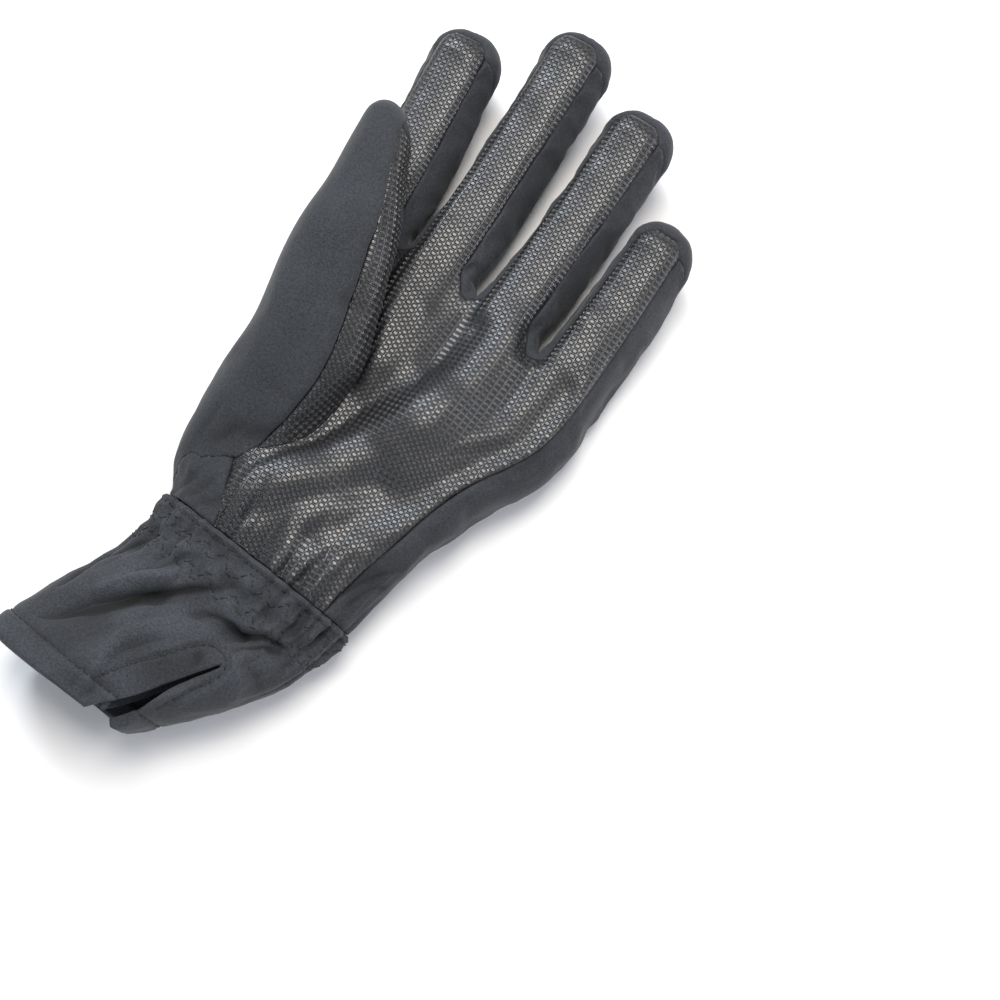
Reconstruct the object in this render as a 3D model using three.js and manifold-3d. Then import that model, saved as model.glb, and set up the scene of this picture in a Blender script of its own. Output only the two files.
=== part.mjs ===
// A man's left-hand winter glove, lying on its back with the palm up.
// It is sewn from panels: embossed synthetic leather on the palm, the fronts of the fingers and the inside
// of the thumb, and a padded soft shell everywhere else. An elastic gathers the wrist, and a cuff with a
// U-shaped vent ends in a folded hem. Every panel is a hollow wall of its own, and the hand goes in through
// the cuff.
// Millimetres and degrees. +Z is up, +Y points to the fingertips, and the thumb is on the -X side.
import * as THREE from "three";
import Module from "manifold-3d";

const wasm = await Module();
wasm.setup();

const { degToRad, lerp, smoothstep } = THREE.MathUtils;

// Driving dimensions
const SHELL_WALL = 2.4; // soft shell with its insulation
const THUMB_WALL = 2.2;
const CUFF_WALL = 1.8;
const HEM_WALL = 3.2; // the cuff folded on itself
const HEM_STANDS_OUT = 0.5;
const GUSSET_WALL = 1.4;
const SEAM_GAP = 0.4; // clear space between neighbouring panels
const SHARPEST_CORNER = 0.3; // limits how far a seam gap moves the point of a panel
const SAME_POINT = 0.001; // points closer than this are one
const FLOOR_Z = 0; // the back of the glove is flattened by what it rests on
const WRIST_Y = -72; // seam between the hand panels and the gathered band
const GATHER_END_Y = -92;
const HEM_Y = -140; // open edge of the cuff
const HEM_DEPTH = 8.5;

const table = (columns, rows) =>
  rows.map((row) => Object.fromEntries(columns.map((column, i) => [column, row[i]])));

// Fingers, from the index finger to the little finger. Heading is from +Y towards +X, and curl is how far
// the tip turns up.
const FINGERS = table(
  ["rootX", "rootY", "length", "heading", "curl", "rootHalfWidth", "tipHalfWidth"],
  [
    [-40.5, 44, 80, -10.6, 13, 14.6, 13],
    [-12, 46, 99.5, -5.7, 13, 13.4, 13],
    [18, 45, 89, -2.8, 14, 13.5, 13],
    [47.7, 40, 65.5, -3, 16, 14.3, 11.8],
  ],
);
const FINGER_ROOT_Z = 14;
const ROOT_HALF_HEIGHT = 13.5;
const TIP_HALF_HEIGHT = 10.8;
const FINGER_SQUARENESS = 2.3; // exponent of the section's superellipse
const CAP_LENGTH = 13; // rounded end of a finger
const CAP_SQUARENESS = 2.3;
const FRONT_NOTCH = 6; // how far the notch between two fingers runs to a point
const BACK_NOTCH = 1.5;
const NOTCH_STARTS = 0.9; // share of the palm's length

// Around a finger, angles run from the little-finger side (0) over the palm side (90).
const FRONT_HALF_ANGLE = 43; // embossed panel, each way from its middle
const FRONT_MIDDLE_ANGLE = 95;
const FRONT_END_HALF_ANGLE = 32;
const BACK_HALF_ANGLE = 47; // back panel, each way from -90

// Distances from a fingertip. The side strip ends in a point, then the embossed panel ends, and the cap
// closes.
const SIDE_STRIP_WIDEST = 34;
const LAST_LONG_STATION = 13;
const SIDE_STRIP_END = 9;
const FRONT_PANEL_END = 4;
const CAP_STATIONS = [SIDE_STRIP_END, 6.5, FRONT_PANEL_END, 1.5, 0];

// Sections of the hand and sleeve, from the hem to the knuckles
const SECTIONS = table(
  ["y", "centreX", "halfWidth", "centreZ", "halfHeight"],
  [
    [-140, -18.5, 26.5, 22, 21.3],
    [-127, -12, 31, 20.2, 19.5],
    [-112, -4.6, 35, 17.8, 18.2],
    [-98, 2, 35.6, 15.5, 16.5],
    [-84, 4.8, 35.6, 14.5, 15],
    [-70, 5, 36.8, 14.5, 15],
    [-48, 4.5, 41.5, 15, 16],
    [-10, 5.5, 49, 15, 16.2],
    [20, 6, 57.5, 14.5, 15],
    [50, 4, 60, 14, 14],
  ],
);
const PALM_SQUARENESS = 2.5;

// Edges of the hand's panels, as shares of the half width: the embossed panel's on the thumb side and on the
// little-finger side, and the back panel's on both.
const EDGES = table(
  ["y", "frontThumb", "frontLittle", "back"],
  [
    [-70, -0.42, 0.78, 0.75],
    [-48, -0.6, 0.8, 0.78],
    [-10, -0.72, 0.8, 0.8],
    [20, -0.8, 0.84, 0.82],
    [50, -0.84, 0.86, 0.84],
  ],
);
const LOBES_START_Y = -22; // below this the finger roots no longer show in the palm

// Sections of the thumb, which lies over the edge of the palm. Around it, angles run from +X over +Z.
const THUMB = table(
  ["y", "centreX", "halfWidth", "centreZ", "halfHeight"],
  [
    [-62, -27, 12, 13, 9],
    [-46, -27.5, 16, 18, 14.5],
    [-28, -26, 20, 24, 17],
    [-10, -26.6, 21, 30, 17.5],
    [8, -31, 20.2, 36.5, 16.5],
    [24, -35, 18.2, 42, 15],
    [40, -39.6, 15.5, 43.5, 14.5],
    [56, -45.5, 12.2, 44, 14],
    [72, -51, 9, 44, 13],
  ],
);
const THUMB_STATIONS = [-62, -47, -32, -18, -4, 10, 24, 38, 50, 59, 66, 70.5, 72];
const THUMB_CAP_LENGTH = 9;
const THUMB_SQUARENESS = 2.2;
const THUMB_FRONT_FROM = -52; // embossed panel of the thumb
const THUMB_FRONT_TO = 48;
const THUMB_FRONT_END_Y = 66;

// Soft relief of the upper side: mounds and hollows along the line from one point to another
const RELIEF = table(
  ["x0", "y0", "x1", "y1", "radius", "height"],
  [
    [40, -34, 42, -20, 17, 2.5],
    [44, 8, 44, 16, 17, 2],
    [4, -10, 22, -30, 13, -3.5],
    [-34, 20, -6, -24, 15, -4],
    [-8, 26, 14, 4, 12, 1.8],
    [-32, -124, -9, -103, 5, -3],
    [-9, -103, 13, -86, 4.5, -3],
    [-10, -130, 10, -108, 6.5, 3.2],
    [5, -99, 19, -95, 3.2, -2.6],
    [19, -95, 34, -91, 3.2, -2.6],
    [28, -104, 30, -108, 7, 2.4],
  ],
);

// Gathers of the elastic
const GATHER_FOLDS = 19;
const GATHER_DEPTH = 1.5;
const GATHER_CENTRE_Y = -80;
const GATHER_REACH = 17;
// The folds wander around the section, so that no two are alike. Amounts and starts are in radians.
const GATHER_WANDER = table(
  ["folds", "amount", "start"],
  [
    [3, 0.9, 0.7],
    [7, 0.5, 0],
  ],
);

// The cuff's vent, on the upper side: turn is its middle around the section, and halfTurn its half width.
const VENT = table(
  ["y", "turn", "halfTurn"],
  [
    [-142, 27, 15],
    [-122, 37, 9],
    [-105, 53, 5.5],
    [-88, 62, 5.5],
    [-70, 64, 5.5],
  ],
);
const VENT_TOP_Y = -105;
const VENT_DOME = 2.5; // rise of the vent's round top

// The folded gusset behind the vent, from its top to the hem. Depths are from the outside of the cuff.
const GUSSET_SPREAD = 1.5; // half width as a share of the vent's, so that its edges are tucked under
const GUSSET_TOP_Y = -101;
const GUSSET_TOP_DEPTH = 3.9;
const GUSSET_TOP_PLEAT = 1.5;
const GUSSET_HEM_Y = -137.5;
const GUSSET_HEM_DEPTH = 4.8;
const GUSSET_HEM_PLEAT = 7;
const GUSSET_ROUNDNESS = 1.5; // exponent of the pleat's section

// Mesh divisions
const FRONT_SEGMENTS = 5;
const SIDE_SEGMENTS = 4;
const BACK_SEGMENTS = 4;
const PALM_ROWS = 10;
const FINGER_ROWS = 6;
const THUMB_FRONT_SEGMENTS = 6;
const THUMB_OUTER_SEGMENTS = 11;
const SLEEVE_SEGMENTS = 52;
const VENT_SEGMENTS = 4;
const GATHER_ROWS = 5;
const CUFF_ROWS = 8;
const VENT_ROWS = 5;
const GUSSET_ROWS = 6;
const GUSSET_SEGMENTS = 8;

const clamp01 = (value) => Math.max(0, Math.min(1, value));
const power = (value, exponent) => Math.sign(value) * Math.abs(value) ** exponent;
const steps = (from, to, count) => Array.from({ length: count + 1 }, (_, i) => lerp(from, to, i / count));

// A value of a table at y, on a smooth curve through its rows.
function along(rows, y, column) {
  const last = rows.length - 1;
  const above = rows.findIndex((row) => row.y > y);
  const i = above < 0 ? last - 1 : Math.max(0, above - 1);
  const slope = (k) => {
    const before = rows[Math.max(0, k - 1)];
    const after = rows[Math.min(last, k + 1)];
    return (after[column] - before[column]) / (after.y - before.y);
  };
  const [low, high] = [rows[i], rows[i + 1]];
  const span = high.y - low.y;
  const t = clamp01((y - low.y) / span);
  const t2 = t * t;
  const t3 = t2 * t;
  return (
    (2 * t3 - 3 * t2 + 1) * low[column] +
    (t3 - 2 * t2 + t) * span * slope(i) +
    (3 * t2 - 2 * t3) * high[column] +
    (t3 - t2) * span * slope(i + 1)
  );
}

const onFloor = (p) => p.setZ(Math.max(FLOOR_Z, p.z));

// A point on a finger's outer surface. Behind the root the finger runs on straight, as a lobe of the palm.
function fingerPoint(finger, fromTip, angle) {
  const heading = degToRad(finger.heading);
  const curl = degToRad(finger.curl);
  const t = 1 - fromTip / finger.length;
  const pitch = Math.max(0, t) * curl;
  const forward = t < 0 ? t * finger.length : (finger.length / curl) * Math.sin(pitch);
  const rise = (finger.length / curl) * (1 - Math.cos(pitch));
  const ahead = new THREE.Vector3(Math.sin(heading), Math.cos(heading), 0);
  const aside = new THREE.Vector3(Math.cos(heading), -Math.sin(heading), 0);
  const up = new THREE.Vector3(0, 0, Math.cos(pitch)).addScaledVector(ahead, -Math.sin(pitch));
  const cap = (1 - clamp01(1 - fromTip / CAP_LENGTH) ** CAP_SQUARENESS) ** (1 / CAP_SQUARENESS);
  const halfWidth = cap * lerp(finger.rootHalfWidth, finger.tipHalfWidth, clamp01(t));
  const halfHeight = cap * lerp(ROOT_HALF_HEIGHT, TIP_HALF_HEIGHT, clamp01(t));
  const a = degToRad(angle);
  return new THREE.Vector3(finger.rootX, finger.rootY, FINGER_ROOT_Z + rise)
    .addScaledVector(ahead, forward)
    .addScaledVector(aside, halfWidth * power(Math.cos(a), 2 / FINGER_SQUARENESS))
    .addScaledVector(up, halfHeight * power(Math.sin(a), 2 / FINGER_SQUARENESS));
}

// Angles of the panels' edges on a finger, on its little-finger side (1) or its thumb side (-1). Near the
// tip the back panel's edge rises to meet the embossed panel's.
function frontEdge(fromTip, side) {
  const opened = smoothstep(fromTip, FRONT_PANEL_END, CAP_LENGTH);
  return FRONT_MIDDLE_ANGLE - side * lerp(FRONT_END_HALF_ANGLE, FRONT_HALF_ANGLE, opened);
}

function backEdge(fromTip, side) {
  const low = side > 0 ? BACK_HALF_ANGLE - 90 : 270 - BACK_HALF_ANGLE;
  const widened = clamp01((fromTip - SIDE_STRIP_END) / (SIDE_STRIP_WIDEST - SIDE_STRIP_END));
  return lerp(frontEdge(fromTip, side), low, Math.sqrt(widened));
}

const frontAngle = (fromTip, share) => lerp(frontEdge(fromTip, -1), frontEdge(fromTip, 1), share);
const backAngle = (fromTip, share) => lerp(backEdge(fromTip, -1) - 360, backEdge(fromTip, 1), share);
const thumbSideAngle = (fromTip, share) => lerp(frontEdge(fromTip, -1), backEdge(fromTip, -1), share);
const littleSideAngle = (fromTip, share) => lerp(frontEdge(fromTip, 1), backEdge(fromTip, 1), share);

function gather(y, turn) {
  const reach = Math.exp(-(((y - GATHER_CENTRE_Y) / GATHER_REACH) ** 2));
  const wander = GATHER_WANDER.map(({ folds, amount, start }) => amount * Math.sin(folds * turn + start));
  const phase = wander.reduce((sum, part) => sum + part, 0);
  return GATHER_DEPTH * reach * Math.cos(GATHER_FOLDS * turn + phase);
}

function relief(x, y) {
  let sum = 0;
  for (const { x0, y0, x1, y1, radius, height } of RELIEF) {
    const length2 = (x1 - x0) ** 2 + (y1 - y0) ** 2;
    const t = clamp01(((x - x0) * (x1 - x0) + (y - y0) * (y1 - y0)) / length2);
    const far2 = (x - lerp(x0, x1, t)) ** 2 + (y - lerp(y0, y1, t)) ** 2;
    sum += height * Math.exp(-far2 / radius ** 2);
  }
  return sum;
}

// A point on the outer surface of the hand or sleeve, at a turn around its flattened section.
function sleevePoint(y, turn) {
  const across = power(Math.cos(turn), 2 / PALM_SQUARENESS);
  const over = power(Math.sin(turn), 2 / PALM_SQUARENESS);
  const fold = gather(y, turn);
  const x = along(SECTIONS, y, "centreX") + (along(SECTIONS, y, "halfWidth") + fold) * across;
  const z = along(SECTIONS, y, "centreZ") + (along(SECTIONS, y, "halfHeight") + fold) * over;
  return new THREE.Vector3(x, y, z + Math.max(0, over) * relief(x, y));
}

// The turn at which the section is a given share of its half width across.
const turnAt = (share) => Math.acos(power(share, PALM_SQUARENESS / 2));

// A surface in faces that each belong to one panel. Its panels are made into walls afterwards.
class Surface {
  constructor() {
    this.points = [];
    this.index = new Map();
    this.faces = [];
  }

  vertex(p) {
    const key = [p.x, p.y, p.z].map((c) => Math.round(c / SAME_POINT)).join(",");
    if (!this.index.has(key)) {
      this.index.set(key, this.points.length);
      this.points.push(p.clone());
    }
    return this.index.get(key);
  }

  // Seen from outside, columns go left to right and their rows go up, unless flipped.
  grid(panel, columns, flipped = false) {
    for (let i = 1; i < columns.length; i++) {
      for (let j = 1; j < columns[i].length; j++) {
        const corners = [columns[i - 1][j - 1], columns[i][j - 1], columns[i][j], columns[i - 1][j]];
        const ids = [...new Set(corners.map((p) => this.vertex(p)))];
        if (flipped) ids.reverse();
        for (let k = 2; k < ids.length; k++) this.faces.push({ panel, ids: [ids[0], ids[k - 1], ids[k]] });
      }
    }
  }

  findNormals() {
    this.normals = this.points.map(() => new THREE.Vector3());
    const triangle = new THREE.Triangle();
    const normal = new THREE.Vector3();
    for (const { ids } of this.faces) {
      triangle.set(...ids.map((i) => this.points[i]));
      triangle.getNormal(normal).multiplyScalar(triangle.getArea());
      ids.forEach((i) => this.normals[i].add(normal));
    }
    this.normals.forEach((n) => n.normalize());
  }

  rim(faces) {
    const edges = new Map();
    for (const { ids } of faces) {
      ids.forEach((a, i) => {
        const b = ids[(i + 1) % 3];
        if (!edges.delete(`${b},${a}`)) edges.set(`${a},${b}`, [a, b]);
      });
    }
    return [...edges.values()];
  }

  // A panel as a closed wall: its outer faces, the same faces a wall's thickness further in, and its rim.
  wall(panel, thickness, standsOut = 0) {
    const faces = this.faces.filter((face) => face.panel === panel);
    const rim = this.rim(faces);
    const insets = this.insets(rim);
    const still = new THREE.Vector3();
    const positions = [];
    const sides = new Map();
    for (const i of new Set(faces.flatMap((face) => face.ids))) {
      const outer = this.points[i].clone().add(insets.get(i) ?? still);
      onFloor(outer.addScaledVector(this.normals[i], standsOut));
      const inner = outer.clone().addScaledVector(this.normals[i], -thickness);
      const first = positions.length / 3;
      positions.push(...outer.toArray(), ...inner.toArray());
      sides.set(i, [first, first + 1]);
    }
    const triangles = [];
    for (const { ids } of faces) {
      const [a, b, c] = ids.map((i) => sides.get(i));
      triangles.push(a[0], b[0], c[0], c[1], b[1], a[1]);
    }
    // Panels that share an edge split its quad along the same diagonal, so that their gap stays even.
    for (const edge of rim) {
      const [a, b] = edge.map((i) => sides.get(i));
      if (edge[0] < edge[1]) triangles.push(b[0], a[0], b[1], a[0], a[1], b[1]);
      else triangles.push(b[0], a[0], a[1], b[0], a[1], b[1]);
    }
    return solidFrom(positions, triangles);
  }

  // Half a seam gap for every point of the rim, inwards across the panel.
  insets(rim) {
    const moves = new Map();
    for (const edge of rim) {
      const direction = this.points[edge[1]].clone().sub(this.points[edge[0]]);
      for (const i of edge) {
        const inward = this.normals[i].clone().cross(direction).normalize();
        moves.set(i, (moves.get(i) ?? new THREE.Vector3()).add(inward));
      }
    }
    for (const move of moves.values()) {
      move.multiplyScalar(SEAM_GAP / Math.max(SHARPEST_CORNER, move.lengthSq()));
    }
    return moves;
  }

  // All that the surface encloses, grown by an offset. An open end is closed by a fan.
  solid(offset) {
    const grown = this.points.map((p, i) => p.clone().addScaledVector(this.normals[i], offset));
    const positions = grown.flatMap((p) => p.toArray());
    const triangles = this.faces.flatMap((face) => face.ids);
    const rim = this.rim(this.faces);
    if (rim.length > 0) {
      const middle = new THREE.Vector3();
      for (const [a] of rim) middle.add(grown[a]);
      positions.push(...middle.divideScalar(rim.length).toArray());
      for (const [a, b] of rim) triangles.push(b, a, positions.length / 3 - 1);
    }
    return solidFrom(positions, triangles);
  }
}

function solidFrom(positions, triangles) {
  return new wasm.Manifold(
    new wasm.Mesh({
      numProp: 3,
      vertProperties: new Float32Array(positions),
      triVerts: new Uint32Array(triangles),
    }),
  );
}

// A cut can leave crumbs beside what is left of a panel.
function mainBody(solid) {
  return solid.decompose().sort((a, b) => b.volume() - a.volume())[0];
}

// Each column runs from the wrist seam to a point of a finger's root, or to the notch between two fingers.
function rootColumns(angleOf, segments) {
  const columns = [];
  FINGERS.forEach((finger, i) => {
    const root = finger.length;
    for (const share of steps(0, 1, segments)) columns.push([{ finger, angle: angleOf(root, share) }]);
    if (i < FINGERS.length - 1) {
      columns.push([
        { finger, angle: angleOf(root, 1) },
        { finger: FINGERS[i + 1], angle: angleOf(root, 0) },
      ]);
    }
  });
  return columns;
}

function rootPoint(column, y) {
  const sum = new THREE.Vector3();
  for (const { finger, angle } of column) {
    const back = (finger.rootY - y) / Math.cos(degToRad(finger.heading));
    sum.add(fingerPoint(finger, finger.length + back, angle));
  }
  return sum.divideScalar(column.length);
}

const rootY = (column) => column.reduce((sum, { finger }) => sum + finger.rootY, 0) / column.length;

// A palm column at v, from 0 at the wrist to 1 at the root.
function palmPoint(column, turnOf, v, notch) {
  const y = lerp(WRIST_Y, rootY(column), v);
  const root = rootPoint(column, y);
  if (column.length > 1) root.y -= notch * smoothstep(v, NOTCH_STARTS, 1);
  const sleeve = sleevePoint(y, turnOf(y));
  return onFloor(sleeve.lerp(root, smoothstep(y, LOBES_START_Y, rootY(column))));
}

// For each column, the turn of the hand's section that it follows.
function turnsAcross(columns, edges, below) {
  const xs = columns.map((column) => rootPoint(column, rootY(column)).x);
  return xs.map((x) => (y) => {
    const share = (x - xs[0]) / (xs.at(-1) - xs[0]);
    return (below ? -1 : 1) * turnAt(lerp(...edges(y), share));
  });
}

const frontEdges = (y) => [along(EDGES, y, "frontThumb"), along(EDGES, y, "frontLittle")];
const backEdges = (y) => [-along(EDGES, y, "back"), along(EDGES, y, "back")];
const littleTurns = (y) => [turnAt(frontEdges(y)[1]), -turnAt(backEdges(y)[1])];
const thumbTurns = (y) => [turnAt(frontEdges(y)[0]), 2 * Math.PI - turnAt(backEdges(y)[0])];

function palmGrid(columns, turns, notch) {
  const rows = steps(0, 1, PALM_ROWS);
  return columns.map((column, i) => rows.map((v) => palmPoint(column, turns[i], v, notch)));
}

function sideOfPalm(finger, angleOf, turns) {
  return steps(0, 1, SIDE_SEGMENTS).map((share) => {
    const column = [{ finger, angle: angleOf(finger.length, share) }];
    return steps(0, 1, PALM_ROWS).map((v) => palmPoint(column, (y) => lerp(...turns(y), share), v, 0));
  });
}

function fingerGrid(finger, rows, angleOf, segments) {
  return steps(0, 1, segments).map((share) =>
    rows.map((fromTip) => onFloor(fingerPoint(finger, fromTip, angleOf(fromTip, share)))),
  );
}

// Each crotch is a saddle of the side strip between two fingers, from the palm's notch to the back's.
function saddle(left, right) {
  return steps(0, 1, SIDE_SEGMENTS).map((share) => {
    const ends = [
      { finger: left, angle: littleSideAngle(left.length, share) },
      { finger: right, angle: thumbSideAngle(right.length, share) },
    ];
    const [a, b] = ends.map(({ finger, angle }) => onFloor(fingerPoint(finger, finger.length, angle)));
    const middle = onFloor(rootPoint(ends, rootY(ends)));
    if (share === 0) middle.y -= FRONT_NOTCH;
    if (share === 1) middle.y -= BACK_NOTCH;
    return [a, middle, b];
  });
}

// The hand
const BETWEEN_FINGERS = ["fourchette_index_middle", "fourchette_middle_ring", "fourchette_ring_little"];
const frontColumns = rootColumns(frontAngle, FRONT_SEGMENTS);
const backColumns = rootColumns(backAngle, BACK_SEGMENTS);
const hand = new Surface();
hand.grid("palm_panel", palmGrid(frontColumns, turnsAcross(frontColumns, frontEdges, false), FRONT_NOTCH));
hand.grid("back_panel", palmGrid(backColumns, turnsAcross(backColumns, backEdges, true), BACK_NOTCH), true);
hand.grid("little_side", sideOfPalm(FINGERS[3], littleSideAngle, littleTurns));
hand.grid("index_side", sideOfPalm(FINGERS[0], thumbSideAngle, thumbTurns), true);
FINGERS.forEach((finger, i) => {
  const stations = [...steps(finger.length, LAST_LONG_STATION, FINGER_ROWS), ...CAP_STATIONS];
  const frontRows = stations.filter((fromTip) => fromTip >= FRONT_PANEL_END);
  const sideRows = stations.filter((fromTip) => fromTip >= SIDE_STRIP_END);
  const capRows = stations.filter((fromTip) => fromTip <= FRONT_PANEL_END);
  hand.grid("palm_panel", fingerGrid(finger, frontRows, frontAngle, FRONT_SEGMENTS));
  hand.grid("back_panel", fingerGrid(finger, capRows, frontAngle, FRONT_SEGMENTS));
  hand.grid("back_panel", fingerGrid(finger, stations, backAngle, BACK_SEGMENTS), true);
  const littleSide = BETWEEN_FINGERS[i] ?? "little_side";
  const thumbSide = BETWEEN_FINGERS[i - 1] ?? "index_side";
  hand.grid(littleSide, fingerGrid(finger, sideRows, littleSideAngle, SIDE_SEGMENTS));
  hand.grid(thumbSide, fingerGrid(finger, sideRows, thumbSideAngle, SIDE_SEGMENTS), true);
});
BETWEEN_FINGERS.forEach((name, i) => hand.grid(name, saddle(FINGERS[i], FINGERS[i + 1]), true));
hand.findNormals();

// The thumb
function thumbPoint(y, angle) {
  const inCap = clamp01(1 - (THUMB_STATIONS.at(-1) - y) / THUMB_CAP_LENGTH);
  const cap = Math.sqrt(1 - inCap ** 2);
  const a = degToRad(angle);
  const x = cap * along(THUMB, y, "halfWidth") * power(Math.cos(a), 2 / THUMB_SQUARENESS);
  const z = cap * along(THUMB, y, "halfHeight") * power(Math.sin(a), 2 / THUMB_SQUARENESS);
  return new THREE.Vector3(along(THUMB, y, "centreX") + x, y, along(THUMB, y, "centreZ") + z);
}

function thumbGrid(from, to, segments, rows) {
  return steps(from, to, segments).map((angle) => rows.map((y) => thumbPoint(y, angle)));
}

const thumb = new Surface();
const thumbFrontRows = THUMB_STATIONS.filter((y) => y <= THUMB_FRONT_END_Y);
const thumbCapRows = THUMB_STATIONS.filter((y) => y >= THUMB_FRONT_END_Y);
const thumbFront = (rows) => thumbGrid(THUMB_FRONT_FROM, THUMB_FRONT_TO, THUMB_FRONT_SEGMENTS, rows);
const thumbRest = (rows) => thumbGrid(THUMB_FRONT_TO, THUMB_FRONT_FROM + 360, THUMB_OUTER_SEGMENTS, rows);
thumb.grid("thumb_palm", thumbFront(thumbFrontRows), true);
thumb.grid("thumb_outer", thumbFront(thumbCapRows), true);
thumb.grid("thumb_outer", thumbRest(THUMB_STATIONS), true);
thumb.findNormals();

// The sleeve: gathered band, cuff and hem, around the vent
function sleeveTurn(y, around) {
  const middle = degToRad(along(VENT, y, "turn"));
  const half = degToRad(along(VENT, y, "halfTurn"));
  return middle - half - around * 2 * (Math.PI - half);
}

const ventTurn = (y, across) => degToRad(along(VENT, y, "turn") - across * along(VENT, y, "halfTurn"));

function sleeveGrid(rows) {
  return steps(0, 1, SLEEVE_SEGMENTS).map((around) =>
    rows.map((y) => onFloor(sleevePoint(y, sleeveTurn(y, around)))),
  );
}

function aboveVentGrid(rows) {
  return steps(-1, 1, VENT_SEGMENTS).map((across) =>
    rows.map((y) => {
      const dome = y === VENT_TOP_Y ? VENT_DOME * (1 - across ** 2) : 0;
      return sleevePoint(y + dome, ventTurn(y + dome, across));
    }),
  );
}

const hemRows = steps(HEM_Y, HEM_Y + HEM_DEPTH, 1);
const ventRows = steps(HEM_Y + HEM_DEPTH, VENT_TOP_Y, VENT_ROWS);
const cuffRows = [...ventRows, ...steps(VENT_TOP_Y, GATHER_END_Y, CUFF_ROWS - VENT_ROWS).slice(1)];
const gatherRows = steps(GATHER_END_Y, WRIST_Y, GATHER_ROWS);
const sleeve = new Surface();
sleeve.grid("hem_band", sleeveGrid(hemRows));
sleeve.grid("cuff", sleeveGrid(cuffRows));
sleeve.grid("cuff", aboveVentGrid(cuffRows.filter((y) => y >= VENT_TOP_Y)));
sleeve.grid("wrist_gather", sleeveGrid(gatherRows));
sleeve.grid("wrist_gather", aboveVentGrid(gatherRows));
sleeve.findNormals();

// The gusset: a pleat that hangs behind the vent from one of its edges to the other
function gussetPoint(v, across) {
  const y = lerp(GUSSET_HEM_Y, GUSSET_TOP_Y, v);
  const p = sleevePoint(y, ventTurn(y, across * GUSSET_SPREAD));
  const centre = new THREE.Vector3(along(SECTIONS, y, "centreX"), y, along(SECTIONS, y, "centreZ"));
  const inward = centre.sub(p).normalize();
  const pleat = lerp(GUSSET_HEM_PLEAT, GUSSET_TOP_PLEAT, v) * (1 - Math.abs(across) ** GUSSET_ROUNDNESS);
  return p.addScaledVector(inward, lerp(GUSSET_HEM_DEPTH, GUSSET_TOP_DEPTH, v) + pleat);
}

const gusset = new Surface();
const gussetRows = steps(0, 1, GUSSET_ROWS);
const gussetColumn = (across) => gussetRows.map((v) => gussetPoint(v, across));
const gussetGrid = steps(-1, 1, GUSSET_SEGMENTS).map(gussetColumn);
gusset.grid("cuff_gusset", gussetGrid);
gusset.findNormals();

// The glove
const SOFT_SHELL = { color: "#26292c", roughness: 0.85, metalness: 0 };
const EMBOSSED = { color: "#1d1e20", roughness: 0.42, metalness: 0 };

const glove = new THREE.Group();

function addPiece(name, solid, finish) {
  const mesh = solid.getMesh();
  const geometry = new THREE.BufferGeometry();
  geometry.setAttribute("position", new THREE.BufferAttribute(new Float32Array(mesh.vertProperties), 3));
  geometry.setIndex(new THREE.BufferAttribute(new Uint32Array(mesh.triVerts), 1));
  geometry.computeVertexNormals();
  const piece = new THREE.Mesh(geometry, new THREE.MeshStandardMaterial(finish));
  piece.name = name;
  glove.add(piece);
}

// The thumb opens into the hand, so the panels that it passes through are cut by its inside.
const handSpace = hand.solid(SEAM_GAP);
const thumbSpace = thumb.solid(-THUMB_WALL);
const openedByThumb = (name) => mainBody(hand.wall(name, SHELL_WALL).subtract(thumbSpace));
const outsideHand = (name) => mainBody(thumb.wall(name, THUMB_WALL).subtract(handSpace));

addPiece("palm_panel", openedByThumb("palm_panel"), EMBOSSED);
addPiece("back_panel", hand.wall("back_panel", SHELL_WALL), SOFT_SHELL);
addPiece("index_side", openedByThumb("index_side"), SOFT_SHELL);
addPiece("little_side", hand.wall("little_side", SHELL_WALL), SOFT_SHELL);
for (const name of BETWEEN_FINGERS) addPiece(name, hand.wall(name, SHELL_WALL), SOFT_SHELL);
addPiece("thumb_outer", outsideHand("thumb_outer"), SOFT_SHELL);
addPiece("thumb_palm", outsideHand("thumb_palm"), EMBOSSED);
addPiece("wrist_gather", sleeve.wall("wrist_gather", CUFF_WALL), SOFT_SHELL);
addPiece("cuff", sleeve.wall("cuff", CUFF_WALL), SOFT_SHELL);
addPiece("hem_band", sleeve.wall("hem_band", HEM_WALL, HEM_STANDS_OUT), SOFT_SHELL);
addPiece("cuff_gusset", gusset.wall("cuff_gusset", GUSSET_WALL), SOFT_SHELL);

const extent = new THREE.Box3().setFromObject(glove);
const middle = extent.getCenter(new THREE.Vector3());
glove.position.set(-middle.x, -middle.y, -extent.min.z);

export default glove;
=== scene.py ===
import math
from collections import Counter

import bmesh
import bpy
import numpy as np
from mathutils import Matrix, Vector, noise
from mathutils.bvhtree import BVHTree
from mathutils.kdtree import KDTree


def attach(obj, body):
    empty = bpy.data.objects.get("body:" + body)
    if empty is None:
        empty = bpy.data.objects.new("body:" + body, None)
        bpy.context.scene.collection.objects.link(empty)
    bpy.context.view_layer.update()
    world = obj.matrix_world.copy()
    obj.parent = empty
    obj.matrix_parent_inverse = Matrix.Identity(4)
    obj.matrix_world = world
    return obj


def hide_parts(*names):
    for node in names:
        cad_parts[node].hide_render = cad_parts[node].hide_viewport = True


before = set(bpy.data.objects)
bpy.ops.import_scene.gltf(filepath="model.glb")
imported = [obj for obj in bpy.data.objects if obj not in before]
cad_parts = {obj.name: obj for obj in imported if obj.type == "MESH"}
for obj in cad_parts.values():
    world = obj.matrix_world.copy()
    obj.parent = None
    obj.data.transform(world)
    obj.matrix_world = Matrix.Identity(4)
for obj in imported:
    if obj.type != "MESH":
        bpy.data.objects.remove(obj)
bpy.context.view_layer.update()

# Studio
# A pale matt floor, soft light from above, and the steep view over the palm from the little-finger side.
MM = 0.001
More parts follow.
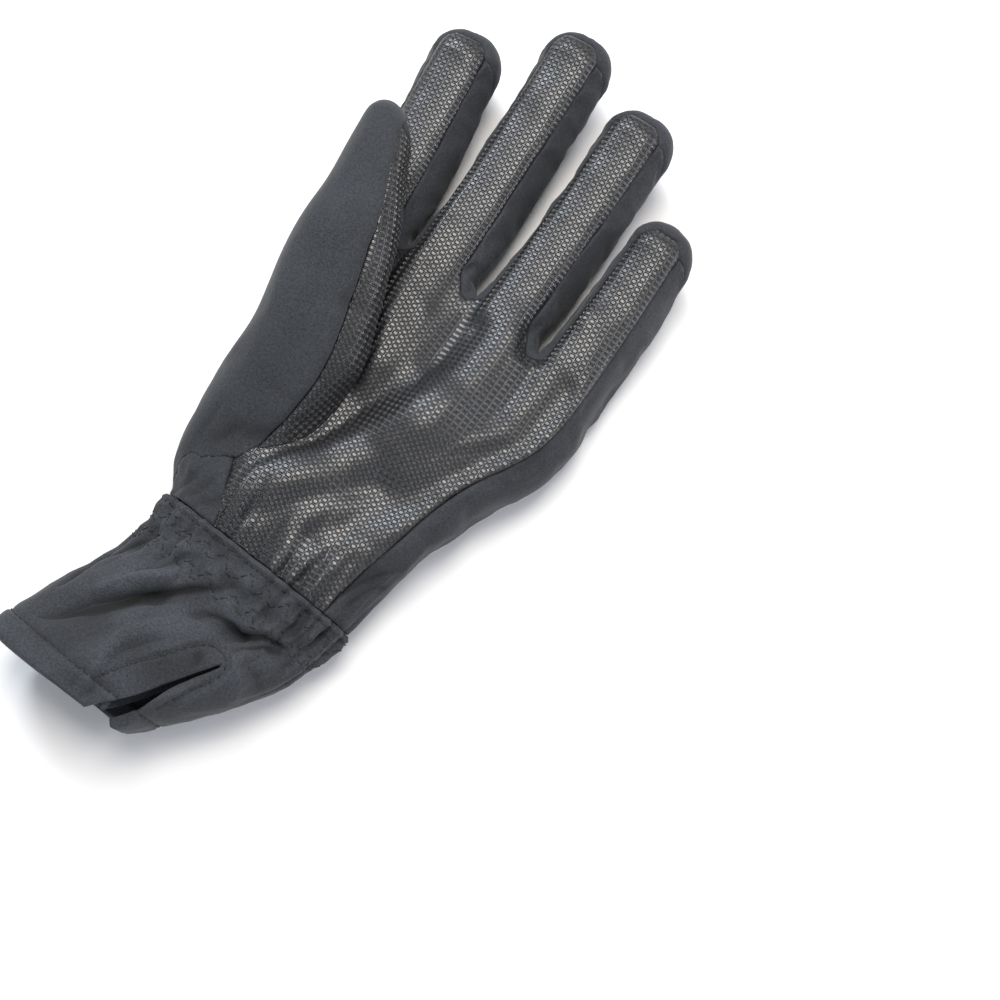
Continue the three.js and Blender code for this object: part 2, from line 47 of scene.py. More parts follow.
VIEW_TURN = math.radians(38)
VIEW_HEIGHT = math.radians(75)
VIEW_DISTANCE = 0.5
VIEW_AIM = Vector((0.0563, -0.0087, 0.02))
FIELD_OF_VIEW = math.radians(36.2)
FLOOR_SIZE = 4.0
FLOOR_DROP = 0.0002
FLOOR_WHITE = "#f2f2f2"
SKY_WHITE = "#f4f6fa"
SKY_STRENGTH = 0.36
# name, place, size, power in watts, colour; all of them face the middle of the glove
LAMPS = [
    ("overhead_softbox", (-0.06, 0.33, 1.24), 0.6, 14.5, "#fffaf4"),
    ("window_light", (-0.68, 0.42, 0.72), 0.35, 7.0, "#eef5ff"),
    ("front_card", (0.6, -0.7, 0.8), 0.6, 2.5, "#e6f0ff"),
    ("side_card", (0.8, 0.45, 0.55), 0.6, 3.0, "#f6f6ff"),
]


def linear(hex_colour):
    """An sRGB hex colour as linear RGBA."""
    channels = [int(hex_colour[i : i + 2], 16) / 255 for i in (1, 3, 5)]
    return [c / 12.92 if c <= 0.04045 else ((c + 0.055) / 1.055) ** 2.4 for c in channels] + [1.0]


def new_object(name, data):
    made = bpy.data.objects.new(name, data)
    bpy.context.scene.collection.objects.link(made)
    return made


def plain_material(name):
    """A material with only its shader, and that shader's node."""
    material = bpy.data.materials.new(name)
    material.use_nodes = True
    return material, material.node_tree, material.node_tree.nodes["Principled BSDF"]


camera_data = bpy.data.cameras.new("camera")
camera_data.angle = FIELD_OF_VIEW
camera_data.clip_start = 0.01
camera = new_object("camera", camera_data)
towards_camera = Vector((
    math.sin(VIEW_TURN) * math.cos(VIEW_HEIGHT),
    -math.cos(VIEW_TURN) * math.cos(VIEW_HEIGHT),
    math.sin(VIEW_HEIGHT),
))
view_right = Vector((math.cos(VIEW_TURN), math.sin(VIEW_TURN), 0))
view_up = towards_camera.cross(view_right)
turned = Matrix((view_right, view_up, towards_camera)).transposed().to_4x4()
camera.matrix_world = Matrix.Translation(VIEW_AIM + VIEW_DISTANCE * towards_camera) @ turned
bpy.context.scene.camera = camera

for lamp_name, place, size, watts, colour in LAMPS:
    lamp_data = bpy.data.lights.new(lamp_name, "AREA")
    lamp_data.size = size
    lamp_data.energy = watts
    lamp_data.color = linear(colour)[:3]
    lamp = new_object(lamp_name, lamp_data)
    lamp.location = place
    lamp.rotation_euler = (-Vector(place)).to_track_quat("-Z", "Y").to_euler()

world = bpy.data.worlds.new("studio_air")
world.use_nodes = True
world.node_tree.nodes["Background"].inputs["Color"].default_value = linear(SKY_WHITE)
world.node_tree.nodes["Background"].inputs["Strength"].default_value = SKY_STRENGTH
bpy.context.scene.world = world
bpy.context.scene.view_settings.view_transform = "Standard"

floor_mesh = bpy.data.meshes.new("floor")
half_floor = FLOOR_SIZE / 2
floor_mesh.from_pydata(
    [(x, y, -FLOOR_DROP) for x, y in ((-1, -1), (1, -1), (1, 1), (-1, 1))], [], [(0, 1, 2, 3)]
)
floor_mesh.transform(Matrix.Diagonal((half_floor, half_floor, 1, 1)))
floor = new_object("floor", floor_mesh)
floor_material, _, floor_shader = plain_material("matt_backdrop_paper")
floor_shader.inputs["Base Color"].default_value = linear(FLOOR_WHITE)
floor_shader.inputs["Roughness"].default_value = 0.9
floor_mesh.materials.append(floor_material)

# Hand: the panels' common surface
# The hand is sewn from an embossed palm panel, a back panel and side strips, which meet in seams. Their
# common outer surface is worked out first, in millimetres, and later sections cut their own panels from it.
# Tables count from the middle of the palm, and the model is centred on its box.
CENTRING = np.array([1.285, -1.692, 0.0])
FINGER_COLUMNS = ("root_x", "root_y", "length", "heading", "curl", "root_half_width", "tip_half_width")
FINGERS = [
    dict(zip(FINGER_COLUMNS, row))
    for row in (
        (-40.5, 44, 80, -10.6, 13, 14.6, 13),
        (-12, 46, 99.5, -5.7, 13, 13.4, 13),
        (18, 45, 89, -2.8, 14, 13.5, 13),
        (47.7, 40, 65.5, -3, 16, 14.3, 11.8),
    )
]
INDEX, LITTLE = FINGERS[0], FINGERS[-1]
FINGER_ROOT_Z = 14
ROOT_HALF_HEIGHT = 13.5
TIP_HALF_HEIGHT = 10.8
FINGER_SQUARENESS = 2.3
CAP_LENGTH = 13
CAP_SQUARENESS = 2.3
FRONT_NOTCH = 6
BACK_NOTCH = 1.5
NOTCH_DEPTH = 0.25  # share of the saddle over which a notch dies away
NOTCH_FROM = 0.9  # share of a palm column's length from which a notch draws it down
FRONT_HALF_ANGLE = 43
FRONT_MIDDLE_ANGLE = 95
FRONT_END_HALF_ANGLE = 20
BACK_HALF_ANGLE = 47
SIDE_STRIP_WIDEST = 34
LAST_LONG_STATION = 13
SIDE_STRIP_END = 9
FRONT_PANEL_END = 4
CAP_STATIONS = (11.6, 10.3, 9, 7.3, 5.6, 4, 3, 2.1, 1.4, 0.8, 0.35, 0)
STRIP_THINNING = ((11.6, 4), (10.3, 8))  # near its point, a strip keeps only every fourth or eighth column
WRIST_Y = -72
LOBES_START_Y = -22
PALM_SQUARENESS = 2.5
# y, centre x, half width, centre z, half height
SECTIONS = np.array([
    (-140, -18.5, 26.5, 22, 21.3),
    (-127, -12, 31, 20.2, 19.5),
    (-112, -4.6, 35, 17.8, 18.2),
    (-98, 2, 35.6, 15.5, 16.5),
    (-84, 4.8, 35.6, 14.5, 15),
    (-70, 5, 36.8, 14.5, 15),
    (-48, 4.5, 41.5, 15, 16),
    (-10, 5.5, 49, 15, 16.2),
    (20, 6, 57.5, 14.5, 15),
    (50, 4, 60, 14, 14),
])
# y, embossed panel's edge on the thumb side and on the little-finger side, back panel's edge on both
EDGES = np.array([
    (-70, -0.42, 0.78, 0.75),
    (-48, -0.6, 0.8, 0.78),
    (-10, -0.72, 0.8, 0.8),
    (20, -0.8, 0.84, 0.82),
    (50, -0.84, 0.86, 0.84),
])
# Mounds and hollows along a line: x0, y0, x1, y1, radius, height
RELIEF = (
    (40, -34, 42, -20, 17, 2.5),
    (44, 8, 44, 16, 17, 2),
    (4, -10, 22, -30, 13, -3.5),
    (-34, 20, -6, -24, 15, -4),
    (-8, 26, 14, 4, 12, 1.8),
    (-32, -124, -9, -103, 5, -3),
    (-9, -103, 13, -86, 4.5, -3),
    (-10, -130, 10, -108, 6.5, 3.2),
    (5, -99, 19, -95, 3.2, -2.6),
    (19, -95, 34, -91, 3.2, -2.6),
    (28, -104, 30, -108, 7, 2.4),
)
# Gathers of the elastic: folds around, depth, middle y, reach along y
GATHERS = ((19, 1.5, -80, 17), (41, 0.8, -75, 12), (31, 1.1, -67, 14))
GATHER_WANDER = ((0.9, 3, 0.7), (0.5, 7, 0.0))
GATHER_ROUNDNESS = 0.8
MESH_STEP = 2.1
FRONT_SEGMENTS = 12
SIDE_SEGMENTS = 16
BACK_SEGMENTS = 12
GAP_SEGMENTS = 4
PALM_ROWS = 54
WELD = 0.02  # points closer than this are one
PALM, BACK, THUMB_SIDE, LITTLE_SIDE, INDEX_MIDDLE, MIDDLE_RING, RING_LITTLE = range(7)
BETWEEN_FINGERS = (INDEX_MIDDLE, MIDDLE_RING, RING_LITTLE)


def power(value, exponent):
    return np.sign(value) * np.abs(value) ** exponent


def smooth(value, low, high):
    t = np.clip((value - low) / (high - low), 0, 1)
    return t * t * (3 - 2 * t)


def blend(a, b, share):
    return a + (b - a) * share


def along(rows, y, column):
    """A column of a table at y, on a smooth curve through its rows."""
    y = np.asarray(y, float)
    places, values = rows[:, 0], rows[:, column]
    last = len(rows) - 1
    before = np.maximum(np.arange(last + 1) - 1, 0)
    after = np.minimum(np.arange(last + 1) + 1, last)
    slopes = (values[after] - values[before]) / (places[after] - places[before])
    i = np.clip(np.searchsorted(places, y, side="right") - 1, 0, last - 1)
    span = places[i + 1] - places[i]
    t = np.clip((y - places[i]) / span, 0, 1)
    return (
        (2 * t**3 - 3 * t**2 + 1) * values[i]
        + (t**3 - 2 * t**2 + t) * span * slopes[i]
        + (3 * t**2 - 2 * t**3) * values[i + 1]
        + (t**3 - t**2) * span * slopes[i + 1]
    )


def finger_point(finger, from_tip, angle):
    """Points on a finger. Angles run from its little-finger side (0) over the palm side (90), in degrees."""
    from_tip, angle = np.broadcast_arrays(np.asarray(from_tip, float), np.radians(angle))
    heading, curl, length = math.radians(finger["heading"]), math.radians(finger["curl"]), finger["length"]
    t = 1 - from_tip / length
    pitch = np.maximum(0, t) * curl
    forward = np.where(t < 0, t * length, length / curl * np.sin(pitch))
    rise = length / curl * (1 - np.cos(pitch))
    cap = (1 - np.clip(1 - from_tip / CAP_LENGTH, 0, 1) ** CAP_SQUARENESS) ** (1 / CAP_SQUARENESS)
    grown = np.clip(t, 0, 1)
    wide = cap * blend(finger["root_half_width"], finger["tip_half_width"], grown)
    high = cap * blend(ROOT_HALF_HEIGHT, TIP_HALF_HEIGHT, grown)
    aside = wide * power(np.cos(angle), 2 / FINGER_SQUARENESS)
    upward = high * power(np.sin(angle), 2 / FINGER_SQUARENESS)
    ahead = forward - upward * np.sin(pitch)
    return np.stack([
        finger["root_x"] + ahead * math.sin(heading) + aside * math.cos(heading),
        finger["root_y"] + ahead * math.cos(heading) - aside * math.sin(heading),
        FINGER_ROOT_Z + rise + upward * np.cos(pitch),
    ], -1)


def front_edge(from_tip, side):
    reached = np.clip((np.asarray(from_tip, float) - FRONT_PANEL_END) / (CAP_LENGTH - FRONT_PANEL_END), 0, 1)
    opened = np.sqrt(1 - (1 - reached) ** 2)
    return FRONT_MIDDLE_ANGLE - side * blend(FRONT_END_HALF_ANGLE, FRONT_HALF_ANGLE, opened)


def back_edge(from_tip, side):
    low = BACK_HALF_ANGLE - 90 if side > 0 else 270 - BACK_HALF_ANGLE
    widened = np.clip((from_tip - SIDE_STRIP_END) / (SIDE_STRIP_WIDEST - SIDE_STRIP_END), 0, 1)
    return blend(front_edge(from_tip, side), low, np.sqrt(widened))


def front_angle(from_tip, share):
    return blend(front_edge(from_tip, -1), front_edge(from_tip, 1), share)


def back_angle(from_tip, share):
    return blend(back_edge(from_tip, -1) - 360, back_edge(from_tip, 1), share)


def thumb_side_angle(from_tip, share):
    return blend(front_edge(from_tip, -1), back_edge(from_tip, -1), share)


def little_side_angle(from_tip, share):
    return blend(front_edge(from_tip, 1), back_edge(from_tip, 1), share)


def relief(x, y):
    total = np.zeros_like(x)
    for x0, y0, x1, y1, radius, height in RELIEF:
        t = np.clip(((x - x0) * (x1 - x0) + (y - y0) * (y1 - y0)) / ((x1 - x0) ** 2 + (y1 - y0) ** 2), 0, 1)
        far = (x - blend(x0, x1, t)) ** 2 + (y - blend(y0, y1, t)) ** 2
        total = total + height * np.exp(-far / radius**2)
    return total


def gather(y, turn):
    """Folds that the elastic pulls up. They wander a little, so that no two are alike."""
    wander = sum(by * np.sin(times * turn + start) for by, times, start in GATHER_WANDER)
    total = 0
    for folds, depth, middle, reach in GATHERS:
        # Round crests and sharp valleys
        crest = 2 * np.abs(np.cos((folds * turn + wander) / 2)) ** GATHER_ROUNDNESS - 1
        total = total + depth * np.exp(-(((y - middle) / reach) ** 2)) * crest
    return total


def sleeve_point(y, turn):
    """Points on the hand or sleeve, at a turn around its flattened section, in radians."""
    y, turn = np.broadcast_arrays(np.asarray(y, float), turn)
    across = power(np.cos(turn), 2 / PALM_SQUARENESS)
    over = power(np.sin(turn), 2 / PALM_SQUARENESS)
    fold = gather(y, turn)
    x = along(SECTIONS, y, 1) + (along(SECTIONS, y, 2) + fold) * across
    z = along(SECTIONS, y, 3) + (along(SECTIONS, y, 4) + fold) * over
    return np.stack([x, y, z + np.maximum(0, over) * relief(x, y)], -1)


def turn_at(share):
    """The turn at which the section is this share of its half width across."""
    return np.arccos(power(share, PALM_SQUARENESS / 2))


def on_floor(points):
    points[..., 2] = np.maximum(points[..., 2], 0)
    return points


def root_columns(segments):
    """Columns that run up the palm to the finger roots, as weighted (finger, share) pairs."""
    columns = []
    for i, finger in enumerate(FINGERS):
        columns += [[(finger, share, 1.0)] for share in np.linspace(0, 1, segments + 1)]
        if finger is not LITTLE:
            for across in np.linspace(0, 1, GAP_SEGMENTS + 1)[1:-1]:
                columns.append([(finger, 1.0, 1 - across), (FINGERS[i + 1], 0.0, across)])
    return columns


def root_y(column):
    return sum(weight * finger["root_y"] for finger, share, weight in column)


def root_point(column, angle_of, y):
    total = 0
    for finger, share, weight in column:
        back = (finger["root_y"] - y) / math.cos(math.radians(finger["heading"]))
        angle = angle_of(finger["length"], share)
        total = total + weight * finger_point(finger, finger["length"] + back, angle)
    return total


def between(column):
    """1 in the middle between two fingers, and 0 on a finger."""
    return 1 - abs(2 * column[0][2] - 1) if len(column) > 1 else 0


def palm_column(column, angle_of, turn_of, notch):
    rows = np.linspace(0, 1, PALM_ROWS + 1)
    y = blend(WRIST_Y, root_y(column), rows)
    root = root_point(column, angle_of, y)
    root[:, 1] -= notch * between(column) * smooth(rows, NOTCH_FROM, 1)
    share = smooth(y, LOBES_START_Y, root_y(column))[:, None]
    return on_floor(blend(sleeve_point(y, turn_of(y)), root, share))


def palm_side(angle_of, segments, edges, below, notch):
    """The palm or the back, from the wrist seam to the finger roots."""
    columns = root_columns(segments)
    xs = np.array([root_point(column, angle_of, root_y(column))[0] for column in columns])
    shares = (xs - xs[0]) / (xs[-1] - xs[0])
    side = -1 if below else 1
    return np.array([
        palm_column(column, angle_of, lambda y: side * turn_at(blend(*edges(y), share)), notch)
        for column, share in zip(columns, shares)
    ])


def front_edges(y):
    return along(EDGES, y, 1), along(EDGES, y, 2)


def back_edges(y):
    return -along(EDGES, y, 3), along(EDGES, y, 3)


def little_turn(y, share):
    return blend(turn_at(front_edges(y)[1]), -turn_at(back_edges(y)[1]), share)


def thumb_turn(y, share):
    return blend(turn_at(front_edges(y)[0]), 2 * math.pi - turn_at(back_edges(y)[0]), share)


def edge_of_palm(finger, angle_of, turn_of):
    return np.array([
        palm_column([(finger, share, 1.0)], angle_of, lambda y: turn_of(y, share), 0)
        for share in np.linspace(0, 1, SIDE_SEGMENTS + 1)
    ])


def finger_grid(finger, stations, angle_of, segments):
    shares = np.linspace(0, 1, segments + 1)[:, None]
    return on_floor(finger_point(finger, stations[None, :], angle_of(stations[None, :], shares)))


def strip_grid(finger, stations, angle_of):
    """A side strip of a finger. Near its point some columns run together, so that no face is a sliver."""
    grid = finger_grid(finger, stations, angle_of, SIDE_SEGMENTS)
    for station, step in STRIP_THINNING:
        kept = [math.floor(i / step + 0.5) * step for i in range(SIDE_SEGMENTS + 1)]
        row = int(np.flatnonzero(stations == station)[0])
        grid[:, row] = grid[kept, row]
    return grid


def saddle(left, right):
    """The side strip's crotch between two fingers, from the palm's notch to the back's."""
    columns = []
    for share in np.linspace(0, 1, SIDE_SEGMENTS + 1):
        notch = FRONT_NOTCH * max(0, 1 - share / NOTCH_DEPTH)
        notch += BACK_NOTCH * max(0, 1 - (1 - share) / NOTCH_DEPTH)
        column = []
        for across in np.linspace(0, 1, GAP_SEGMENTS + 1):
            ends = [(left, 1 - across, little_side_angle), (right, across, thumb_side_angle)]
            y = sum(weight * finger["root_y"] for finger, weight, angle_of in ends)
            point = sum(
                weight * root_point([(finger, share, 1.0)], angle_of, y) for finger, weight, angle_of in ends
            )
            point[1] -= notch * (1 - abs(2 * across - 1))
            column.append(point)
        columns.append(column)
    return on_floor(np.array(columns))


def skin_mesh(name, grids):
    """One surface, in metres, from grids of points. Its faces keep their panel as their material index."""
    points, quads, panels = [], [], []
    for panel, grid, flipped in grids:
        first = sum(len(p) for p in points)
        index = first + np.arange(grid.shape[0] * grid.shape[1]).reshape(grid.shape[:2])
        quad = np.stack([index[:-1, :-1], index[1:, :-1], index[1:, 1:], index[:-1, 1:]], -1).reshape(-1, 4)
        quads.append(quad[:, ::-1] if flipped else quad)
        panels.append(np.full(len(quad), panel))
        points.append(grid.reshape(-1, 3))
    mesh = bpy.data.meshes.new(name)
    mesh.from_pydata((np.concatenate(points) + CENTRING) * MM, [], np.concatenate(quads).tolist())
    mesh.polygons.foreach_set("material_index", np.concatenate(panels).astype(np.int32))
    work = bmesh.new()
    work.from_mesh(mesh)
    bmesh.ops.remove_doubles(work, verts=work.verts, dist=WELD * MM)
    work.to_mesh(mesh)
    work.free()
    return mesh


def hand_grids():
    grids = [
        (PALM, palm_side(front_angle, FRONT_SEGMENTS, front_edges, False, FRONT_NOTCH), False),
        (BACK, palm_side(back_angle, BACK_SEGMENTS, back_edges, True, BACK_NOTCH), True),
        (LITTLE_SIDE, edge_of_palm(LITTLE, little_side_angle, little_turn), False),
        (THUMB_SIDE, edge_of_palm(INDEX, thumb_side_angle, thumb_turn), True),
    ]
    for i, finger in enumerate(FINGERS):
        length = finger["length"]
        rows = math.ceil((length - LAST_LONG_STATION) / MESH_STEP)
        stations = np.array([*np.linspace(length, LAST_LONG_STATION, rows + 1), *CAP_STATIONS])
        front = stations[stations >= FRONT_PANEL_END]
        side = stations[stations >= SIDE_STRIP_END]
        cap = stations[stations <= FRONT_PANEL_END]
        little = BETWEEN_FINGERS[i] if finger is not LITTLE else LITTLE_SIDE
        thumb = BETWEEN_FINGERS[i - 1] if finger is not INDEX else THUMB_SIDE
        grids += [
            (PALM, finger_grid(finger, front, front_angle, FRONT_SEGMENTS), False),
            (BACK, finger_grid(finger, cap, front_angle, FRONT_SEGMENTS), False),
            (BACK, finger_grid(finger, stations, back_angle, BACK_SEGMENTS), True),
            (little, strip_grid(finger, side, little_side_angle), False),
            (thumb, strip_grid(finger, side, thumb_side_angle), True),
        ]
    for panel, left, right in zip(BETWEEN_FINGERS, FINGERS, FINGERS[1:]):
        grids.append((panel, saddle(left, right), True))
    return grids


# Thumb: its surface
# The thumb stands up in front of the index finger. Its surface is a tube of its own, which runs into the hand
# along a crease, and cloth bridges that crease towards the wrist.
THUMB_TIP_Y = 72
THUMB_CAP_LENGTH = 9
THUMB_SQUARENESS = 2.2
THUMB_FRONT_FROM = -52
THUMB_FRONT_TO = 48
THUMB_FRONT_END_Y = 66
THUMB_CAP_STATIONS = (64.5, 66, 67.6, 69, 70.2, 71.1, 71.7, 72)
THUMB_FRONT_SEGMENTS = 16
THUMB_OUTER_SEGMENTS = 38
THUMB_OUTER, THUMB_FRONT = range(2)
# y, centre x, half width, centre z, half height
THUMB = np.array([
    (-76, -21, 6, 12, 5),
    (-62, -27, 12, 13, 9),
    (-46, -27.5, 16, 18, 14.5),
    (-28, -26, 20, 24, 17),
    (-10, -26.6, 21, 30, 17.5),
    (8, -31, 20.2, 36.5, 16.5),
    (24, -35, 18.2, 42, 15),
    (40, -39.6, 15.5, 43.5, 14.5),
    (56, -45.5, 12.2, 44, 14),
    (72, -51, 9, 44, 13),
])
# y, how wide the cloth bridges the crease
BRIDGING = np.array([(-72, 0.02), (-62, 8), (-46, 7), (-34, 3), (-20, 1.2)])


def thumb_point(y, angle):
    """Points on the thumb. Angles run from +X over +Z, in degrees."""
    y, angle = np.broadcast_arrays(np.asarray(y, float), np.radians(angle))
    in_cap = np.clip(1 - (THUMB_TIP_Y - y) / THUMB_CAP_LENGTH, 0, 1)
    cap = np.sqrt(1 - in_cap**2)
    x = cap * along(THUMB, y, 2) * power(np.cos(angle), 2 / THUMB_SQUARENESS)
    z = cap * along(THUMB, y, 4) * power(np.sin(angle), 2 / THUMB_SQUARENESS)
    return np.stack([along(THUMB, y, 1) + x, y, along(THUMB, y, 3) + z], -1)


def thumb_grids():
    rows = math.ceil((THUMB_CAP_STATIONS[0] - THUMB[0, 0]) / MESH_STEP)
    stations = np.array([*np.linspace(THUMB[0, 0], THUMB_CAP_STATIONS[0], rows)[:-1], *THUMB_CAP_STATIONS])
    front = np.linspace(THUMB_FRONT_FROM, THUMB_FRONT_TO, THUMB_FRONT_SEGMENTS + 1)[:, None]
    rest = np.linspace(THUMB_FRONT_TO, THUMB_FRONT_FROM + 360, THUMB_OUTER_SEGMENTS + 1)[:, None]
    return [
        (THUMB_FRONT, thumb_point(stations[stations <= THUMB_FRONT_END_Y][None, :], front), True),
        (THUMB_OUTER, thumb_point(stations[stations >= THUMB_FRONT_END_Y][None, :], front), True),
        (THUMB_OUTER, thumb_point(stations[None, :], rest), True),
    ]


# Slack: how the sewn cloth settles
# The panels are cut with a little slack, so that the soft shell buckles between the seams that hold it. The
# coated leather is stiffer and keeps broader, lower humps.
SLACK = 0.025
SLACK_FRAMES = 20
SHELL_REACH = 1.9  # the most that a point of the cloth moves
LEATHER_SHARE = 0.3  # how far the leather moves, against the soft shell
REST_HEIGHT = 1.5  # what lies lower than this rests on the floor
SEAM_ROWS = (0.3, 0.12)
NEAREST = 4  # points of a surface that stand for it round a place, by how near they are
NEAREST_GAP = 0.05
OPEN_EDGE_GAP = 2


def positions(mesh):
    points = np.zeros(len(mesh.vertices) * 3)
    mesh.vertices.foreach_get("co", points)
    return points.reshape(-1, 3)


def set_positions(mesh, points):
    mesh.vertices.foreach_set("co", np.asarray(points).ravel())
    mesh.update()


def normals_of(mesh):
    normals = np.zeros(len(mesh.vertices) * 3)
    mesh.vertex_normals.foreach_get("vector", normals)
    return normals.reshape(-1, 3)


def seam_points(mesh):
    """Indices of the points that lie on a seam between panels or on an open edge."""
    panels = {}
    for face in mesh.polygons:
        for key in face.edge_keys:
            panels.setdefault(key, []).append(face.material_index)
    on_seam = {i for key, found in panels.items() if len(found) < 2 or found[0] != found[1] for i in key}
    return sorted(on_seam)


def settle_cloth(mesh, leather):
    """Lets a surface of sewn cloth buckle between its seams. Its seams and what rests on the floor stay."""
    piece = new_object(mesh.name + "_cloth", mesh)
    start = positions(mesh)
    held = np.zeros(len(start))
    held[seam_points(mesh)] = 1
    held[start[:, 2] < REST_HEIGHT * MM] = 1
    group = piece.vertex_groups.new(name="held")
    group.add(np.flatnonzero(held).tolist(), 1.0, "REPLACE")
    cloth = piece.modifiers.new("cloth", "CLOTH")
    settings = cloth.settings
    settings.quality = 6
    settings.mass = 0.05
    settings.tension_stiffness = 40
    settings.compression_stiffness = 40
    settings.shear_stiffness = 13
    settings.bending_stiffness = 0.6
    settings.air_damping = 2
    settings.vertex_group_mass = "held"
    settings.shrink_min = -SLACK
    settings.effector_weights.gravity = 0
    cloth.collision_settings.use_collision = False
    cloth.point_cache.frame_start = 1
    cloth.point_cache.frame_end = SLACK_FRAMES
    for i in range(1, SLACK_FRAMES + 1):
        bpy.context.scene.frame_set(i)
    settled = positions(piece.evaluated_get(bpy.context.evaluated_depsgraph_get()).data)
    bpy.context.scene.frame_set(1)
    bpy.data.objects.remove(piece)
    moved = settled - start
    far = np.linalg.norm(moved, axis=1, keepdims=True)
    moved *= SHELL_REACH * MM * np.tanh(far / (SHELL_REACH * MM)) / np.maximum(far, 1e-9)
    of_leather = {i for face in mesh.polygons if face.material_index == leather for i in face.vertices}
    moved[sorted(of_leather)] *= LEATHER_SHARE
    set_positions(mesh, start + moved)


def final_mesh(piece):
    """A new mesh of an object as its modifiers leave it."""
    return bpy.data.meshes.new_from_object(piece.evaluated_get(bpy.context.evaluated_depsgraph_get()))


def refine(mesh):
    """Halves the faces of a surface, then adds two narrow rows of faces along each seam."""
    piece = new_object(mesh.name + "_fine", mesh)
    piece.modifiers.new("round", "SUBSURF").levels = 1
    fine = final_mesh(piece)
    bpy.data.objects.remove(piece)
    work = bmesh.new()
    work.from_mesh(fine)
    for panel in sorted({face.material_index for face in work.faces}):
        for width in SEAM_ROWS:
            faces = [face for face in work.faces if face.material_index == panel]
            bmesh.ops.inset_region(
                work, faces=faces, thickness=width * MM, use_boundary=True, use_even_offset=False
            )
    work.to_mesh(fine)
    work.free()
    return fine


def unit(vectors):
    return vectors / np.maximum(np.linalg.norm(vectors, axis=-1, keepdims=True), 1e-9)


def nearest_tree(points):
    tree = KDTree(len(points))
    for i, point in enumerate(points):
        tree.insert(point, i)
    tree.balance()
    return tree


def outside_of(points, skin):
    """How far points lie outside a surface, and the surface's normals there."""
    corners, facing = positions(skin), normals_of(skin)
    tree = nearest_tree(corners)
    found = [tree.find_n(point, NEAREST) for point in points]
    ids = np.array([[hit[1] for hit in hits] for hits in found])
    near = np.array([[hit[2] for hit in hits] for hits in found])
    weight = 1 / np.maximum(near, NEAREST_GAP * MM) ** 2
    weight /= weight.sum(1, keepdims=True)
    normal = unit((facing[ids] * weight[..., None]).sum(1))
    depth = (((points[:, None] - corners[ids]) * facing[ids]).sum(-1) * weight).sum(1)
    off = near[:, 0] > 2 * np.abs(depth) + OPEN_EDGE_GAP * MM  # beside an open edge
    depth[off] = near[off, 0]
    return depth, normal


def glove_y(points):
    """How far along the glove points lie, as the tables count it."""
    return points[:, 1] / MM - CENTRING[1]


def bridge(skin, other_skin):
    """Where the cloth of a surface ends up when it bridges the crease to another one."""
    points, own = positions(skin), normals_of(skin)
    depth, facing = outside_of(points, other_skin)
    width = np.interp(glove_y(points), BRIDGING[:, 0], BRIDGING[:, 1]) * MM
    # A smooth union of the two shapes: each is pushed out most where both are equally near
    near = np.clip(depth / width, -1, 1)
    share = (0.5 - 0.5 * near)[:, None]
    towards = own * (1 - share) + facing * share
    size = np.linalg.norm(towards, axis=1)
    rise = width / 4 * (1 - np.abs(near)) ** 2 / np.maximum(size, 0.5)
    return points + towards / np.maximum(size, 0.5)[:, None] * rise[:, None], depth


hand_skin = skin_mesh("hand_skin", hand_grids())
thumb_skin = skin_mesh("thumb_skin", thumb_grids())
settle_cloth(hand_skin, PALM)
settle_cloth(thumb_skin, THUMB_FRONT)
hand_skin = refine(hand_skin)
thumb_skin = refine(thumb_skin)
hand_bridged, thumb_depth = bridge(hand_skin, thumb_skin)
thumb_bridged, hand_depth = bridge(thumb_skin, hand_skin)
set_positions(hand_skin, hand_bridged)
set_positions(thumb_skin, thumb_bridged)

# Palm panel
# One cut of synthetic leather for the palm and the fronts of the four fingers: a knit coated with
# polyurethane and embossed with small pips, turned under at its edges and sewn to its neighbours.
PALM_WALL = 2.4
SEAM_PULL = 0.35  # how far a seam sinks into the padding
SEAM_REACH = 2.5
SEAM_CLEARANCE = 0.06
WRIST_ROUNDING = 0.4  # how round the wrist seam's edges are, against the others
WRIST_REACH = (2, 6)  # from the wrist seam, the edges begin to grow rounder here, and are full here
CALM = (0.5, 6)  # the cloth's wrinkles begin this far from the crease of the thumb, and are full here
FLATTENING_STEPS = 400
STEADY = 0.85  # a point takes its neighbours' normal where the cosine between the two is less
INSIDE_SHIFT = -1.0  # metres between the outside's and the inside's flat cuts
LINE_STEP = 0.5  # between the points of a line that is laid on a surface, which has at least LINE_POINTS
LINE_POINTS = 8
LINE_ROUNDING = 3  # how many points to each side round a line's corners
PIP_PITCH = np.array([2.25, 1.95])  # across and along the glove
GRAIN_TURN = math.radians(7)  # the leather is cut this much off its rows of pips
PIP_HALF_WIDTH = 0.72
PIP_HALF_LENGTH = 0.57
PIP_HEIGHT = 0.13
PIP_RINGS = ((1.0, -0.4), (0.86, 1.0))  # share of a pip's size and of its height, below and on top
PIP_ANGLES = (20, 70, 110, 160, 200, 250, 290, 340)
PIP_SQUARENESS = 0.75
PIP_MARGIN = 1.1  # between a seam and the middle of the first pip
PIP_CORNER = 0.17
PIP_PROBE = 0.4  # how far beside a pip the leather's direction is felt
GROOVE_WIDTH = 0.24
GROOVE_DEPTH = 0.25
LEATHER_BLACK = "#191a1d"
LEATHER_WORN = "#252629"
LEATHER_SHINE = 1.0
# Painted shade: the colour that the groove round each pip is darkened to
LEATHER_GROOVE_SHADE = "#060607"
LEATHER_CALM = 6  # the leather's humps are full this far from a seam
# Broad humps and small buckles of the leather: size along x, along y, height
LEATHER_HUMPS = ((26, 22, 0.4), (11, 9, 0.2))
